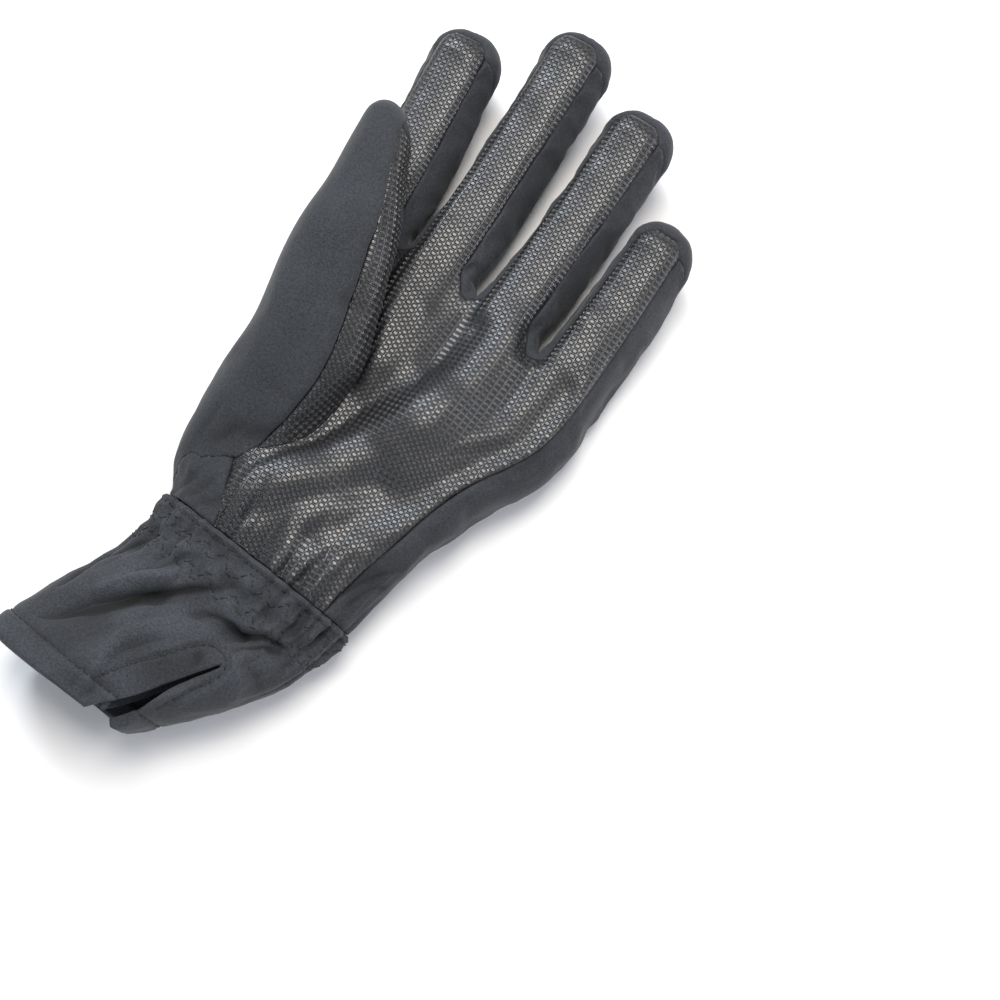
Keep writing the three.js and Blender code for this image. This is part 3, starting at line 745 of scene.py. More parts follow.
# Swellings and hollows of the padded palm, seen from above: their line, height and reach
PALM_FORMS = (
    ([(-10, -58), (-4, -49), (3, -35), (13, -17), (23, 2), (26, 21), (29, 38), (36, 58)], 3.4, 10),
    ([(-6, -4), (-10, 8), (-15, 24), (-20, 43), (-24, 64)], 1.8, 6),
    ([(-6, -30), (0, -16), (5, 0), (9, 15), (13, 32)], -2.0, 6),
    ([(18, -56), (33, -26), (43, -5), (50, 12), (51, 34)], -2.0, 6),
    ([(-4, -62), (10, -44), (22, -28)], -1.2, 4),
)


def waves(points, size):
    """Smooth noise of about one hump per size, in metres, between -1 and 1."""
    return np.array([noise.noise(Vector(point)) for point in points / (np.asarray(size) * MM)])


def distance_to(points, targets):
    """How far each point is from the nearest target, and which one that is."""
    tree = nearest_tree(targets)
    found = [tree.find(point) for point in points]
    return np.array([hit[2] for hit in found]), np.array([hit[1] for hit in found])


def sides_of(faces):
    return [(min(a, b), max(a, b)) for face in faces for a, b in zip(face, face[1:] + face[:1])]


def rim_of(faces):
    return [side for side, count in Counter(sides_of(faces)).items() if count == 1]


def neighbour_mean(points, faces, chosen):
    """For each chosen point, the mean of its faces' centres."""
    total = {i: np.zeros(4) for i in chosen}
    for face in faces:
        touched = [i for i in face if i in total]
        if touched:
            middle = np.append(points[list(face)].mean(0), 1)
            for i in touched:
                total[i] += middle
    return np.array([total[i][:3] / total[i][3] for i in chosen])


def flattened(points, faces, facing):
    """The flat shape that a panel is cut to, in metres, with the glove's length along v. The panel's straight
    view is let out until its threads, along and across and on the bias, have their true lengths."""
    ahead = unit(np.array([0, 1, 0]) - facing[1] * facing)
    flat = points @ np.stack([np.cross(ahead, facing), ahead], -1)
    sides = set(sides_of(faces))
    bias = {(face[k], face[k + 2]) for face in faces if len(face) == 4 for k in (0, 1)}
    start, end = np.array(sorted(sides | bias)).T
    length = np.linalg.norm(points[end] - points[start], axis=1)
    ends = np.concatenate([start, end])
    threads = np.bincount(ends, minlength=len(points))
    for _ in range(FLATTENING_STEPS // (1)):
        apart = flat[end] - flat[start]
        short = 0.5 * (length / np.maximum(np.linalg.norm(apart, axis=1), 1e-9) - 1)
        pull = apart * short[:, None]
        for k in (0, 1):
            moved = np.bincount(ends, np.concatenate([-pull[:, k], pull[:, k]]), len(points))
            flat[:, k] += moved / threads
    cos, sin = math.cos(GRAIN_TURN), math.sin(GRAIN_TURN)
    return flat @ np.array([[cos, -sin], [sin, cos]])


def cut_out(skin, panel):
    """A panel's faces, and which of the skin's points they use."""
    faces = [tuple(face.vertices) for face in skin.polygons if face.material_index == panel]
    used = sorted({i for face in faces for i in face})
    place = {old: new for new, old in enumerate(used)}
    return [tuple(place[i] for i in face) for face in faces], used


def steadied(normals, faces):
    """Normals of which each odd one is replaced by the mean of its neighbours."""
    start, end = np.array([side for face in faces for side in zip(face, face[1:] + face[:1])]).T
    around = unit(np.stack([np.bincount(start, normals[end, k], len(normals)) for k in range(3)], -1))
    odd = (normals * around).sum(1) < STEADY
    normals[odd] = around[odd]
    return normals


def turned_under(points, from_rim, radius):
    """How far both sides of a wall draw in to its middle near the rim, in metres."""
    from_wrist = np.abs(glove_y(points) - WRIST_Y)
    corner = radius * blend(WRIST_ROUNDING, 1, smooth(from_wrist, *WRIST_REACH))
    turned_over = np.maximum(0, 1 - from_rim / corner)
    return radius * (1 - np.sqrt(np.maximum(0, 1 - turned_over**2)))


def lay_flat(mesh, flat, faces):
    """Gives a wall its flat cut as a UV map, with that of its inside far from that of its outside."""
    uv_map = mesh.uv_layers.new(name="flat_cut")
    turned_in = flat + np.array([0, INSIDE_SHIFT])
    outer_uvs = [flat[i] for face in faces for i in face]
    inner_uvs = [turned_in[i] for face in faces for i in reversed(face)]
    uv_map.data.foreach_set("uv", np.array(outer_uvs + inner_uvs).ravel())


def sewn_wall(name, skin, panel, thickness, material, dress=None, flat_cut=False, crease=None):
    """A panel as a closed wall whose edges are rounded over, as cloth is that is turned under at a seam."""
    faces, used = cut_out(skin, panel)
    points = positions(skin)[used]
    normals = steadied(normals_of(skin)[used], faces)
    rim_edges = rim_of(faces)
    rim = sorted({i for edge in rim_edges for i in edge})
    middles = [(points[a] + points[b]) / 2 for a, b in rim_edges]
    from_rim = distance_to(points, [*points[rim], *middles])[0]
    inward = neighbour_mean(points, faces, rim) - points[rim]
    inward = unit(inward - (inward * normals[rim]).sum(1, keepdims=True) * normals[rim])
    flat = flattened(points, faces, unit(normals.mean(0))) if flat_cut else None
    raised = dress(points, normals, from_rim) if dress else np.zeros(len(points))
    if crease is not None:
        raised *= smooth(np.abs(crease[used]), CALM[0] * MM, CALM[1] * MM)
    points[rim] += inward * SEAM_CLEARANCE * MM
    radius = (thickness(points) if callable(thickness) else thickness * MM) / 2
    rounded = turned_under(points, from_rim, radius)
    pulled = SEAM_PULL * MM * np.exp(-((from_rim / (SEAM_REACH * MM)) ** 2))
    outer = points + normals * (raised - rounded - pulled)[:, None]
    inner = points + normals * (rounded - pulled - 2 * radius)[:, None]
    outer[:, 2] = np.maximum(outer[:, 2], 0)
    on_rim = np.zeros(len(points), bool)
    on_rim[rim] = True
    inner_index = np.where(on_rim, np.arange(len(points)), len(points) - 1 + np.cumsum(~on_rim))
    inner_faces = [tuple(int(inner_index[i]) for i in reversed(face)) for face in faces]
    mesh = bpy.data.meshes.new(name)
    mesh.from_pydata(np.concatenate([outer, inner[~on_rim]]), [], faces + inner_faces)
    mesh.polygons.foreach_set("use_smooth", np.ones(len(mesh.polygons), bool))
    # Nothing is embossed near a seam or under the thumb
    edge_distance = from_rim if crease is None else np.minimum(from_rim, np.maximum(0, crease[used]))
    for label, values in (("from_rim", edge_distance), ("raised", raised / MM)):
        both_sides = np.concatenate([values, values[~on_rim]])
        mesh.attributes.new(label, "FLOAT", "POINT").data.foreach_set("value", both_sides)
    if flat_cut:
        lay_flat(mesh, flat, faces)
    mesh.materials.append(material)
    mesh.update()
    return new_object(name, mesh)


def on_plan(line):
    """A line of (x, y) places in the tables' millimetres as close points in metres, with round corners."""
    corners = (np.array(line, float) + CENTRING[:2]) * MM
    reached = np.concatenate([[0], np.cumsum(np.linalg.norm(np.diff(corners, axis=0), axis=1))])
    at = np.linspace(0, reached[-1], max(LINE_POINTS, round(reached[-1] / (LINE_STEP * MM))))
    x, y = (np.interp(at, reached, corners[:, k]) for k in (0, 1))
    flat = np.stack([x, y, 0 * at], -1)
    padding = np.concatenate([flat[:1]] * LINE_ROUNDING + [flat] + [flat[-1:]] * LINE_ROUNDING)
    return np.mean([padding[i : i + len(flat)] for i in range(2 * LINE_ROUNDING + 1)], axis=0)


def leather_humps(points, normals, from_rim):
    """Broad humps of padded leather, in metres along the normal."""
    raised = np.zeros(len(points))
    for size_x, size_y, height in LEATHER_HUMPS:
        raised += height * MM * waves(points, (size_x, size_y, size_y))
    for line, height, reach in PALM_FORMS:
        far = distance_to(points * (1, 1, 0), on_plan(line))[0]
        raised += height * MM * np.exp(-((far / (reach * MM)) ** 2))
    return raised * smooth(from_rim, 0, LEATHER_CALM * MM)


def pip_mesh():
    """A low block of eight sides with a flat top, open below."""
    mesh = bpy.data.meshes.new("pip")
    points = []
    for scale, height in PIP_RINGS:
        for angle in np.radians(PIP_ANGLES):
            x = PIP_HALF_WIDTH * scale * power(math.cos(angle), PIP_SQUARENESS)
            y = PIP_HALF_LENGTH * scale * power(math.sin(angle), PIP_SQUARENESS)
            points.append((x * MM, y * MM, PIP_HEIGHT * height * MM))
    sides = len(PIP_ANGLES)
    faces = [(i, (i + 1) % sides, sides + (i + 1) % sides, sides + i) for i in range(sides)]
    faces.append(tuple(range(sides, 2 * sides)))
    mesh.from_pydata(points, [], faces)
    mesh.update()
    return mesh


def node(tree, kind, inputs=None, **settings):
    """Adds a node with its settings. An input is a value or the output socket that it is linked to."""
    made = tree.nodes.new(kind)
    for name, value in settings.items():
        setattr(made, name, value)
    for key, value in (inputs or {}).items():
        if isinstance(value, bpy.types.NodeSocket):
            tree.links.new(value, made.inputs[key])
        else:
            made.inputs[key].default_value = value
    return made


def vector_math(tree, operation, *inputs):
    return node(tree, "ShaderNodeVectorMath", dict(enumerate(inputs)), operation=operation).outputs[0]


def maths(tree, operation, *inputs):
    return node(tree, "ShaderNodeMath", dict(enumerate(inputs)), operation=operation).outputs[0]


def two_tones(tree, factor, low, high):
    """A colour between two others, each a hex colour or an output socket."""
    low, high = (linear(tone) if isinstance(tone, str) else tone for tone in (low, high))
    mix = node(tree, "ShaderNodeMix", {"Factor": factor, "A": low, "B": high}, data_type="RGBA")
    return mix.outputs["Result"]


def group_tree(name, sockets):
    """A Geometry Nodes tree with named inputs and one geometry output, and its input and output nodes."""
    tree = bpy.data.node_groups.new(name, "GeometryNodeTree")
    tree.interface.new_socket("Geometry", in_out="INPUT", socket_type="NodeSocketGeometry")
    tree.interface.new_socket("Geometry", in_out="OUTPUT", socket_type="NodeSocketGeometry")
    for label, kind in sockets:
        tree.interface.new_socket(label, in_out="INPUT", socket_type="NodeSocket" + kind)
    return tree, node(tree, "NodeGroupInput").outputs, node(tree, "NodeGroupOutput")


def named_attribute(tree, name, kind):
    return node(tree, "GeometryNodeInputNamedAttribute", {"Name": name}, data_type=kind).outputs[0]


def laid_on(tree, facing, tangent):
    """The rotation that lays an instance along a tangent, with its back to the cloth."""
    upright = node(tree, "FunctionNodeAlignRotationToVector", {"Vector": facing}, axis="Z").outputs[0]
    return node(tree, "FunctionNodeAlignRotationToVector", {
        "Rotation": upright, "Vector": tangent,
    }, axis="X", pivot_axis="Z").outputs[0]


def copies(tree, out, points, source, rotation, material):
    """Copies of an object on points, made real and given their material, as the tree's output."""
    shape = node(tree, "GeometryNodeObjectInfo", {"Object": source}).outputs["Geometry"]
    placed = node(tree, "GeometryNodeInstanceOnPoints", {
        "Points": points, "Instance": shape, "Rotation": rotation,
    }).outputs[0]
    solid = node(tree, "GeometryNodeRealizeInstances", {"Geometry": placed}).outputs[0]
    finished = node(tree, "GeometryNodeSetMaterial", {"Geometry": solid, "Material": material}).outputs[0]
    tree.links.new(finished, out.inputs[0])


def embossing_tree():
    """Pips in straight rows over the flat cut of a panel, each carried to its place on the worn shape."""
    tree, given, out = group_tree("embossing", [
        ("Pip", "Object"), ("Pitch", "Vector"), ("Low corner", "Vector"), ("Cut size", "Vector"),
        ("Margin", "Float"), ("Material", "Material"),
    ])
    size = node(tree, "ShaderNodeSeparateXYZ", {0: given["Cut size"]}).outputs
    cells = vector_math(tree, "DIVIDE", given["Cut size"], given["Pitch"])
    cells = node(tree, "ShaderNodeSeparateXYZ", {0: cells}).outputs
    counts = [maths(tree, "ADD", cells[i], 1.5) for i in (0, 1)]
    grid = node(tree, "GeometryNodeMeshGrid", {
        "Size X": size[0], "Size Y": size[1], "Vertices X": counts[0], "Vertices Y": counts[1],
    })
    half = vector_math(tree, "MULTIPLY", given["Cut size"], (0.5, 0.5, 0.5))
    centre = vector_math(tree, "ADD", given["Low corner"], half)
    laid = node(tree, "GeometryNodeTransform", {"Geometry": grid.outputs["Mesh"], "Translation": centre})
    kept = node(tree, "GeometryNodeCaptureAttribute", {"Geometry": laid.outputs[0]})
    kept.capture_items.new("VECTOR", "Spot")
    tree.links.new(node(tree, "GeometryNodeInputPosition").outputs[0], kept.inputs["Spot"])
    spot = kept.outputs["Spot"]
    cut = named_attribute(tree, "flat_cut", "FLOAT_VECTOR")
    place = node(tree, "GeometryNodeInputPosition").outputs[0]
    facing = node(tree, "GeometryNodeInputNormal").outputs[0]
    edge = named_attribute(tree, "from_rim", "FLOAT")
    aside = vector_math(tree, "ADD", spot, (PIP_PROBE * MM, 0, 0))
    found = [
        node(tree, "GeometryNodeSampleUVSurface", {
            "Mesh": given["Geometry"], "Value": value, "Source UV Map": cut, "Sample UV": at,
        }, data_type=kind)
        for value, at, kind in (
            (place, spot, "FLOAT_VECTOR"), (facing, spot, "FLOAT_VECTOR"), (place, aside, "FLOAT_VECTOR"),
            (edge, spot, "FLOAT"),
        )
    ]
    worn, normal, beside, edge_here = (f.outputs["Value"] for f in found)
    turned = laid_on(tree, normal, vector_math(tree, "SUBTRACT", beside, worn))
    valid = found[0].outputs["Is Valid"]
    missing = node(tree, "FunctionNodeBooleanMath", {0: valid}, operation="NOT").outputs[0]
    compared = {0: edge_here, 1: given["Margin"]}
    close = node(tree, "FunctionNodeCompare", compared, operation="LESS_THAN").outputs[0]
    unwanted = node(tree, "FunctionNodeBooleanMath", {0: missing, 1: close}, operation="OR").outputs[0]
    turns = node(tree, "GeometryNodeCaptureAttribute", {"Geometry": kept.outputs["Geometry"]})
    turns.capture_items.new("ROTATION", "Turn")
    tree.links.new(turned, turns.inputs["Turn"])
    placed = node(tree, "GeometryNodeCaptureAttribute", {"Geometry": turns.outputs["Geometry"]})
    placed.capture_items.new("VECTOR", "Worn")
    tree.links.new(worn, placed.inputs["Worn"])
    fewer = node(tree, "GeometryNodeDeleteGeometry", {
        "Geometry": placed.outputs["Geometry"], "Selection": unwanted,
    })
    seated = node(tree, "GeometryNodeSetPosition", {
        "Geometry": fewer.outputs[0], "Position": placed.outputs["Worn"],
    }).outputs[0]
    copies(tree, out, seated, given["Pip"], turns.outputs["Turn"], given["Material"])
    return tree


def made_by(tree, source, name, values):
    """What a Geometry Nodes tree makes of a source mesh, as a plain mesh object."""
    carrier = new_object(name + "_carrier", source.copy())
    modifier = carrier.modifiers.new(tree.name, "NODES")
    modifier.node_group = tree
    sockets = {item.name: item.identifier for item in tree.interface.items_tree if item.in_out == "INPUT"}
    for label, value in values.items():
        modifier[sockets[label]] = value
    bpy.context.view_layer.update()
    made = final_mesh(carrier)
    made.name = name
    bpy.data.objects.remove(carrier)
    return new_object(name, made)


def pressed_grooves(tree):
    """1 in the groove that the embossing roller presses round each pip, and 0 elsewhere."""
    place = node(tree, "ShaderNodeUVMap", uv_map="flat_cut").outputs[0]
    for operation, *values in (
        ("DIVIDE", (*PIP_PITCH * MM, 1)),
        ("ADD", (0.5, 0.5, 0)),
        ("FRACTION",),
        ("SUBTRACT", (0.5, 0.5, 0)),
        ("MULTIPLY", (*PIP_PITCH, 0)),  # in millimetres from the pip's middle
        ("ABSOLUTE",),
        ("SUBTRACT", (PIP_HALF_WIDTH - PIP_CORNER, PIP_HALF_LENGTH - PIP_CORNER, 0)),
        ("MAXIMUM", (0, 0, 0)),
    ):
        place = vector_math(tree, operation, place, *values)
    far = node(tree, "ShaderNodeVectorMath", {0: place}, operation="LENGTH").outputs["Value"]
    off = maths(tree, "ABSOLUTE", maths(tree, "SUBTRACT", far, PIP_CORNER + GROOVE_WIDTH / 2))
    return node(tree, "ShaderNodeMapRange", {
        "Value": off, "From Min": 0, "From Max": GROOVE_WIDTH, "To Min": 1, "To Max": 0,
    }, interpolation_type="SMOOTHSTEP").outputs[0]


def embossed_leather(name, grooved):
    """Embossed polyurethane leather: satin black, finely grained, with painted shade in the groove round each
    pip.
    """
    material, tree, shader = plain_material(name)
    place = node(tree, "ShaderNodeTexCoord").outputs["Object"]
    cloudy = node(tree, "ShaderNodeTexNoise", {"Vector": place, "Scale": 90.0, "Detail": 3.0}).outputs["Fac"]
    grain = node(tree, "ShaderNodeTexVoronoi", {"Vector": place, "Scale": 2200.0}).outputs["Distance"]
    tone = two_tones(tree, cloudy, LEATHER_BLACK, LEATHER_WORN)
    bump = node(tree, "ShaderNodeBump", {"Height": grain, "Strength": 0.25, "Distance": 0.05 * MM}).outputs[0]
    if grooved:
        groove = pressed_grooves(tree)
        # Painted shade: the groove's colour is darkened as shade would fall in it; the bump below gives its
        # real relief
        tone = two_tones(tree, groove, tone, LEATHER_GROOVE_SHADE)
        bump = node(tree, "ShaderNodeBump", {
            "Height": groove, "Normal": bump, "Strength": 1.0, "Distance": GROOVE_DEPTH * MM,
        }, invert=True).outputs[0]
    tree.links.new(tone, shader.inputs["Base Color"])
    rough = node(tree, "ShaderNodeMapRange", {"Value": cloudy, "To Min": 0.35, "To Max": 0.44}).outputs[0]
    tree.links.new(rough, shader.inputs["Roughness"])
    shader.inputs["Specular IOR Level"].default_value = LEATHER_SHINE
    tree.links.new(bump, shader.inputs["Normal"])
    return material


leather = embossed_leather("embossed_polyurethane_leather", True)
pip_leather = embossed_leather("polyurethane_leather_pips", False)
palm = sewn_wall("palm_panel_leather", hand_skin, PALM, PALM_WALL, leather, leather_humps, True, thumb_depth)
embossing = embossing_tree()
pip = new_object("pip", pip_mesh())


def pips_on(piece, name):
    """The embossing of a leather piece. Its rows stand on whole numbers of the pitch, as the grooves do."""
    uvs = np.zeros(len(piece.data.loops) * 2)
    piece.data.uv_layers["flat_cut"].data.foreach_get("uv", uvs)
    uvs = uvs.reshape(-1, 2)
    uvs = uvs[uvs[:, 1] > uvs[:, 1].max() + INSIDE_SHIFT / 2]
    pitch = PIP_PITCH * MM
    low = np.floor(uvs.min(0) / pitch) * pitch
    size = np.ceil((uvs.max(0) - low) / pitch) * pitch
    return made_by(embossing, piece.data, name, {
        "Pip": pip, "Pitch": (*pitch, 1), "Low corner": (*low, 0), "Cut size": (*size, 0),
        "Margin": PIP_MARGIN * MM, "Material": pip_leather,
    })


palm_pips = pips_on(palm, "palm_embossing")
for piece in (palm, palm_pips):
    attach(piece, "root")
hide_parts("palm_panel")

# Back panel
# Soft shell for the back of the hand and the backs of the fingers, wrapped over the fingertips: a plain-woven
# polyester face on fleece, padded, and flat where the glove lies on it. A shaped seam crosses the knuckles.
SHELL_WALL = 2.4
SHELL_BLACK = "#202226"
SHELL_FADED = "#41454b"
# Painted shade: the colour that the hollows of folds are darkened to
SHELL_FOLD_SHADE = "#08090b"
SPECKLE_SHARE = 0.7  # of the fine speckle in the tone; the rest is cloudy
FOLD_FROM, FOLD_TO = -3.0, 1.5  # in millimetres, how deep in a fold the painted shade is full, and how far out it is gone
SHELL_CALM = 8
# The soft shell's wrinkles: size, height, and how far they reach from a seam. Those with 0 are everywhere but
# at the seam, and full SHELL_CALM from it.
SHELL_FOLDS = ((7.0, 0.6, 6.0), (24.0, 0.9, 0.0), (3.5, 0.14, 9.0))
KNUCKLE_SEAM = [(-29, 40), (-22, 29), (-10, 17), (6, 6), (24, -4), (44, -14)]
SEAM_DEPTH = 0.4
SEAM_WIDTH = 0.9
FOLD_TAPER = 0.6
CAST_FROM_BELOW, CAST_FROM_ABOVE = -0.05, 0.12  # metres, clear of the glove


def soft_shell():
    """Woven polyester soft shell: matt charcoal, finely speckled, with painted shade darkening the hollows of
    its folds.
    """
    material, tree, shader = plain_material("woven_polyester_soft_shell")
    place = node(tree, "ShaderNodeTexCoord").outputs["Object"]
    speckle = node(tree, "ShaderNodeTexNoise", {"Vector": place, "Scale": 1500.0, "Detail": 2.0})
    cloudy = node(tree, "ShaderNodeTexNoise", {"Vector": place, "Scale": 45.0, "Detail": 3.0})
    weave = node(tree, "ShaderNodeTexVoronoi", {"Vector": place, "Scale": 1300.0})
    mixed = maths(tree, "MULTIPLY", speckle.outputs["Fac"], SPECKLE_SHARE)
    mixed = maths(tree, "MULTIPLY_ADD", cloudy.outputs["Fac"], 1 - SPECKLE_SHARE, mixed)
    spread = node(tree, "ShaderNodeMapRange", {"Value": mixed, "From Min": 0.32, "From Max": 0.68})
    tone = two_tones(tree, spread.outputs[0], SHELL_BLACK, SHELL_FADED)
    raised = node(tree, "ShaderNodeAttribute", attribute_name="raised").outputs["Fac"]
    # Painted shade: the deeper the cloth lies in a fold, the darker its colour
    fold_shade = node(tree, "ShaderNodeMapRange", {"Value": raised, "From Min": FOLD_FROM, "From Max": FOLD_TO})
    tone = two_tones(tree, fold_shade.outputs[0], SHELL_FOLD_SHADE, tone)
    tree.links.new(tone, shader.inputs["Base Color"])
    shader.inputs["Roughness"].default_value = 0.88
    shader.inputs["Sheen Weight"].default_value = 0.1
    shader.inputs["Sheen Roughness"].default_value = 0.45
    bump = node(tree, "ShaderNodeBump", {
        "Height": weave.outputs["Distance"], "Strength": 0.6, "Distance": 0.12 * MM,
    })
    tree.links.new(bump.outputs[0], shader.inputs["Normal"])
    return material


def ray_tree(mesh):
    return BVHTree.FromPolygons(positions(mesh).tolist(), [tuple(face.vertices) for face in mesh.polygons])


def dropped(line, skin, from_below=False):
    """A line of (x, y) places in millimetres as close points on a surface, and the normals there."""
    tree = ray_tree(skin)
    above = CAST_FROM_BELOW if from_below else CAST_FROM_ABOVE
    down = (0, 0, -math.copysign(1, above))
    hits = [tree.ray_cast((x, y, above), down) for x, y, level in on_plan(line)]
    hits = [(place, normal) for place, normal, face, far in hits if place is not None]
    return np.array([place for place, normal in hits]), np.array([normal for place, normal in hits])


def pressed_in(points, line, depth, reach, tapered=True):
    """How a fold or a seam along a line presses the cloth in, in metres. A fold dies out towards its ends."""
    far, which = distance_to(points, line)
    ends = np.sin(np.pi * (which + 0.5) / len(line)) ** FOLD_TAPER if tapered else 1.0
    return -depth * MM * ends * np.exp(-far / (reach * MM))


def laid_folds(table, skin, sign=1):
    """A table's folds with their lines laid on a surface. A negative sign turns them into rolls."""
    return [(dropped(line, skin)[0], sign * depth, reach) for line, depth, reach in table]


def soft_folds(points, normals, from_rim):
    """Wrinkles of padded cloth, in metres along the normal."""
    raised = np.zeros(len(points))
    for size, height, reach in SHELL_FOLDS:
        near = np.exp(-from_rim / (reach * MM)) if reach else smooth(from_rim, 0, SHELL_CALM * MM)
        raised += height * MM * waves(points, size) * near
    return raised


def folds_and(lines):
    """The wrinkles of padded cloth together with its folds along lines."""
    def dress(points, normals, from_rim):
        raised = soft_folds(points, normals, from_rim)
        for line, depth, reach in lines:
            raised += pressed_in(points, line, depth, reach)
        return raised

    return dress


knuckle_line, knuckle_facing = dropped(KNUCKLE_SEAM, hand_skin, from_below=True)


def back_folds(points, normals, from_rim):
    seam = pressed_in(points, knuckle_line, SEAM_DEPTH, SEAM_WIDTH, tapered=False)
    return soft_folds(points, normals, from_rim) + seam


shell_fabric = soft_shell()
back = sewn_wall(
    "back_panel_shell", hand_skin, BACK, SHELL_WALL, shell_fabric, back_folds, crease=thumb_depth
)
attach(back, "root")
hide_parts("back_panel")

# Side strips and fourchettes
# Strips of the same soft shell that make the fingers round: one between each two fingers, running down one
# finger, round the crotch and up the next, and one down each side of the hand.
STRIPS = (
    (THUMB_SIDE, "index_side"),
    (LITTLE_SIDE, "little_side"),
    (INDEX_MIDDLE, "fourchette_index_middle"),
    (MIDDLE_RING, "fourchette_middle_ring"),
    (RING_LITTLE, "fourchette_ring_little"),
)
# Tucks where a strip turns round a crotch, and puckers of the elastic above the wrist, seen from above:
# their line, depth and reach
TUCKS = (
    ([(-3, 47), (-2.2, 51.5), (0.7, 52.8), (2.7, 51.6), (1.9, 47.6)], 1.2, 0.9),
    ([(2.4, 48), (2.8, 52.6), (5.2, 54.5), (6.8, 53.4)], 1.2, 0.9),
    ([(23.5, 44.6), (25, 46.3), (27.1, 45.7), (29, 43.6)], 1.1, 0.9),
    ([(28.3, 44), (28.6, 48.2), (30.1, 50)], 1.1, 0.9),
    ([(-32.5, -74), (-30.7, -69.8), (-28.5, -65.9), (-27.1, -60)], 1.8, 1.6),
    ([(-26.7, -74), (-25.7, -69.9), (-22.1, -64.5), (-20.9, -58)], 1.7, 1.4),
    ([(-22, -73), (-19, -68), (-15, -65), (-12, -60)], 1.5, 1.3),
    ([(-24, -67.5), (-18, -67.6), (-11, -67)], 0.8, 1.0),
    ([(34, -65), (37.9, -57.7), (41.6, -50.5), (46, -44)], 2.2, 2.2),
    ([(38, -68), (41.5, -57.4), (47.2, -48)], 1.8, 1.6),
    ([(44.4, -41), (47, -33.7), (51.2, -26)], 1.0, 1.8),
    ([(53, -4), (56, 8), (57, 18)], 0.9, 2.0),
)

strip_folds = folds_and(laid_folds(TUCKS, hand_skin))
for panel, cad_node in STRIPS:
    strip = sewn_wall(
        cad_node + "_shell", hand_skin, panel, SHELL_WALL, shell_fabric, strip_folds, crease=thumb_depth
    )
    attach(strip, "root")
    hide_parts(cad_node)

# Thumb: its panels
# A large soft-shell panel wraps the thumb and its fleshy root and closes over the tip; a strip of the
# embossed leather lines its inner face. Both are sewn in along the crease where the thumb leaves the palm.
THUMB_WALL = 2.2
THUMB_CREASE_GAP = 0.04
# Folds of the thumb's root, from above: their line, depth and reach
THUMB_CREASES = (
    ([(-22, -40), (-27, -50), (-29, -58)], 1.0, 2.2),
    ([(-33, -38), (-34, -50), (-32, -60)], 0.8, 1.8),
    ([(-17, -46), (-19, -54), (-20, -62)], 0.8, 1.6),
)


def filled(name, skin, offset):
    """All that a surface encloses, grown by an offset, as a closed body."""
    work = bmesh.new()
    work.from_mesh(skin)
    work.normal_update()
    for point, normal in [(v, v.normal.copy()) for v in work.verts]:
        point.co += normal * offset
    open_edges = [edge for edge in work.edges if edge.is_boundary]
    bmesh.ops.triangle_fill(work, edges=open_edges, use_beauty=True)
    bmesh.ops.recalc_face_normals(work, faces=work.faces)
    mesh = bpy.data.meshes.new(name)
    work.to_mesh(mesh)
    work.free()
    return new_object(name, mesh)


def cut_away(piece, body):
    """Takes from a piece what lies inside a body."""
    cutter = piece.modifiers.new("cut", "BOOLEAN")
    cutter.operation = "DIFFERENCE"
    cutter.solver = "MANIFOLD"
    cutter.object = body
    cut = final_mesh(piece)
    piece.modifiers.clear()
    piece.data = cut


thumb_folds = folds_and(laid_folds(THUMB_CREASES, thumb_skin))
hand_body = filled("hand_body", hand_skin, THUMB_CREASE_GAP * MM)
thumb_outer = sewn_wall(
    "thumb_outer_shell", thumb_skin, THUMB_OUTER, THUMB_WALL, shell_fabric, thumb_folds, crease=hand_depth
)
thumb_front = sewn_wall(
    "thumb_palm_leather", thumb_skin, THUMB_FRONT, THUMB_WALL, leather, leather_humps, True, hand_depth
)
cut_away(thumb_outer, hand_body)
cut_away(thumb_front, hand_body)
bpy.data.objects.remove(hand_body)
thumb_pips = pips_on(thumb_front, "thumb_embossing")
bpy.data.objects.remove(pip)
for piece, slot_name in (
    (thumb_outer, "soft_shell"), (thumb_front, "embossed_leather"), (thumb_pips, "embossed_leather"),
):
    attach(piece, "root")
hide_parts("thumb_outer")
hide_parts("thumb_palm")

# Sleeve: wrist band, cuff and hem
# One tube of thin soft shell. Elastic sewn inside the wrist gathers it, the cuff flares to a hem that is
# folded under and stitched, and a vent with a U of topstitching opens its upper side.
CUFF_WALL = 1.8
HEM_WALL = 2.8
HEM_STANDS_OUT = 0.55
HEM_GROOVE = 0.6
HEM_Y = -140
HEM_DEPTH = 8.5
HEM_STEP = 1
HEM_ENDS = (0.005, 0.995)  # shares of the way round from one side of the vent
HEM_POINTS = 300
# y, turn of the vent's middle, half its width, both in degrees
VENT = np.array([
    (-142, 36, 16),
    (-136, 39, 14.5),
    (-127, 47, 6),
    (-119, 53, 2.2),
    (-105, 56, 1.0),
    (-88, 62, 1.0),
    (-70, 64, 1.0),
])
VENT_TOP_Y = -105
VENT_DOME = 0.5
SLEEVE_SEGMENTS = 178
VENT_SEGMENTS = 2
VENT_ROWS = 28
ABOVE_VENT_ROWS = 38
# The cloth's wrinkles: size, height
SLEEVE_FOLDS = ((20.0, 1.6), (7.0, 0.5), (3.5, 0.14))
CRUMPLE = (5.5, 1.9)  # size and height of what the elastic crumples
CRUMPLE_Y = -82
CRUMPLE_REACH = 11
